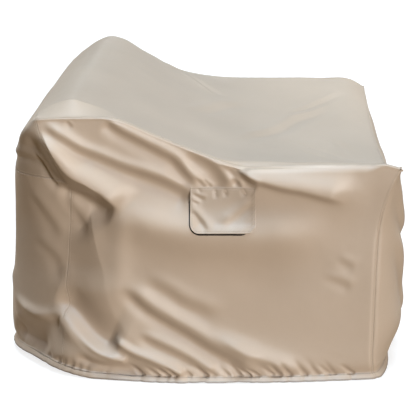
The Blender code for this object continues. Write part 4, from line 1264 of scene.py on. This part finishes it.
# The dark net behind the window
net_width, net_height = WINDOW_WIDTH + 2 * NET_MARGIN, WINDOW_HEIGHT + 2 * NET_MARGIN
net_y = WINDOW_Y + net_width * (0.5 - shares((1.0, NET_STEPS[0])))[None, :]
net_z = WINDOW_TOP_Z + NET_MARGIN - net_height * shares((1.0, NET_STEPS[1]))[:, None]
net_y, net_z = net_y + 0 * net_z, net_z + 0 * net_y
panel_x = cast_on(end_tree, net_y, net_z)
net_x = np.maximum(blurred(panel_x, NET_SMOOTHING), panel_x) + NET_BEHIND
net_grid = np.stack((net_x, net_y, net_z), axis=-1)
net_faces = cells(*net_grid.shape[:2]).reshape(-1, 4)
if not facing_out(net_grid):
    net_faces = net_faces[:, ::-1]
net_uv = np.stack((net_y, net_z), axis=-1).reshape(-1, 2)
mesh, _ = make_piece("net_vent_mesh", net_grid.reshape(-1, 3), net_faces, uv=net_uv)
mesh.data.materials.append(net("mesh_dark", NET))
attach(mesh, "root")
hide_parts("vent_mesh")

# Camera
PIXELS_TO_FOCUS = 1500.0     # for a picture 416 pixels wide
PICTURE = 416
SENSOR = 36.0
CAMERA_PLACE = (-4.617, -0.036 - ORIGIN_Y, 1.504)
CAMERA_YAW = 1.36
CAMERA_PITCH = 14.36
yaw, pitch = math.radians(CAMERA_YAW), math.radians(CAMERA_PITCH)
level_reach = math.cos(pitch)
forward = Vector((level_reach * math.cos(yaw), level_reach * math.sin(yaw), -math.sin(pitch)))
right = Vector((math.sin(yaw), -math.cos(yaw), 0.0))
up = right.cross(forward)
lens = bpy.data.cameras.new("camera")
lens.sensor_width = SENSOR
lens.lens = SENSOR * PIXELS_TO_FOCUS / PICTURE
camera = bpy.data.objects.new("camera", lens)
bpy.context.scene.collection.objects.link(camera)
camera.matrix_world = Matrix((
    (right.x, up.x, -forward.x, CAMERA_PLACE[0]),
    (right.y, up.y, -forward.y, CAMERA_PLACE[1]),
    (right.z, up.z, -forward.z, CAMERA_PLACE[2]),
    (0, 0, 0, 1),
))
bpy.context.scene.camera = camera

# Soft studio light: azimuth 0 comes from the camera's side, and 90 from its right
LIGHTS = (
    # name, azimuth, elevation, strength, colour
    ("overhead", 0, 88, 4.15, (0.70, 0.84, 0.97)),
    ("low_camera", 35, 10, 2.95, (1.0, 0.99, 0.98)),
    ("low_side", 75, 15, 0.05, (1.0, 1.0, 1.0)),
    ("back_fill", -128, 12, 2.10, (1.0, 1.0, 1.0)),
    ("sheen", 0, 52, 2.40, (0.42, 0.72, 1.0)),       # seen only as the coating's soft gloss
)
LIGHT_SPREAD = 26            # degrees across each light
LAMP_DISTANCE = 3
for name, azimuth, elevation, strength, colour in LIGHTS:
    light = bpy.data.lights.new(name, "SUN")
    light.energy = strength
    light.color = colour
    light.angle = math.radians(LIGHT_SPREAD)
    lamp = bpy.data.objects.new(name, light)
    bpy.context.scene.collection.objects.link(lamp)
    turn, lift = math.radians(azimuth), math.radians(elevation)
    level = math.cos(lift)
    towards = Vector((-math.cos(turn) * level, -math.sin(turn) * level, math.sin(lift)))
    lamp.visible_diffuse = name != "sheen"
    lamp.visible_glossy = name != "back_fill"
    lamp.location = LAMP_DISTANCE * towards
    lamp.rotation_euler = towards.to_track_quat("Z", "Y").to_euler()

# Light from all round: faint above the horizon, warm from the floor
SKY = (0.03, 0.03, 0.03, 1)
FLOOR_GLOW = (0.24, 0.17, 0.09, 1)
HORIZON_BLEND = 0.06         # Z of the direction over which one changes into the other
world = bpy.data.worlds.new("studio")
world.use_nodes = True
sky = world.node_tree
direction = sky.nodes.new("ShaderNodeTexCoord")
split = sky.nodes.new("ShaderNodeSeparateXYZ")
blend = sky.nodes.new("ShaderNodeMapRange")
blend.inputs["From Min"].default_value = -HORIZON_BLEND
blend.inputs["From Max"].default_value = HORIZON_BLEND
tones = sky.nodes.new("ShaderNodeMix")
tones.data_type = "RGBA"
tones.inputs[6].default_value = FLOOR_GLOW
tones.inputs[7].default_value = SKY
sky.links.new(direction.outputs["Generated"], split.inputs[0])
sky.links.new(split.outputs["Z"], blend.inputs["Value"])
sky.links.new(blend.outputs[0], tones.inputs[0])
sky.links.new(tones.outputs[2], sky.nodes["Background"].inputs["Color"])
bpy.context.scene.world = world
bpy.context.scene.view_settings.view_transform = "Standard"

# Floor: it doesn't light the cover itself, which the world's lower half does instead
FLOOR_HALF = 30.0
FLOOR_Z = -0.001
floor_data = bpy.data.meshes.new("floor")
floor_corners = [
    (x * FLOOR_HALF, y * FLOOR_HALF, 0.0) for x, y in ((-1, -1), (1, -1), (1, 1), (-1, 1))
]
floor_data.from_pydata(floor_corners, [], [(0, 1, 2, 3)])
floor = bpy.data.objects.new("floor", floor_data)
floor.location.z = FLOOR_Z
floor.visible_diffuse = False
floor.visible_glossy = False
bpy.context.scene.collection.objects.link(floor)
floor_data.materials.append(paper("floor_paper"))
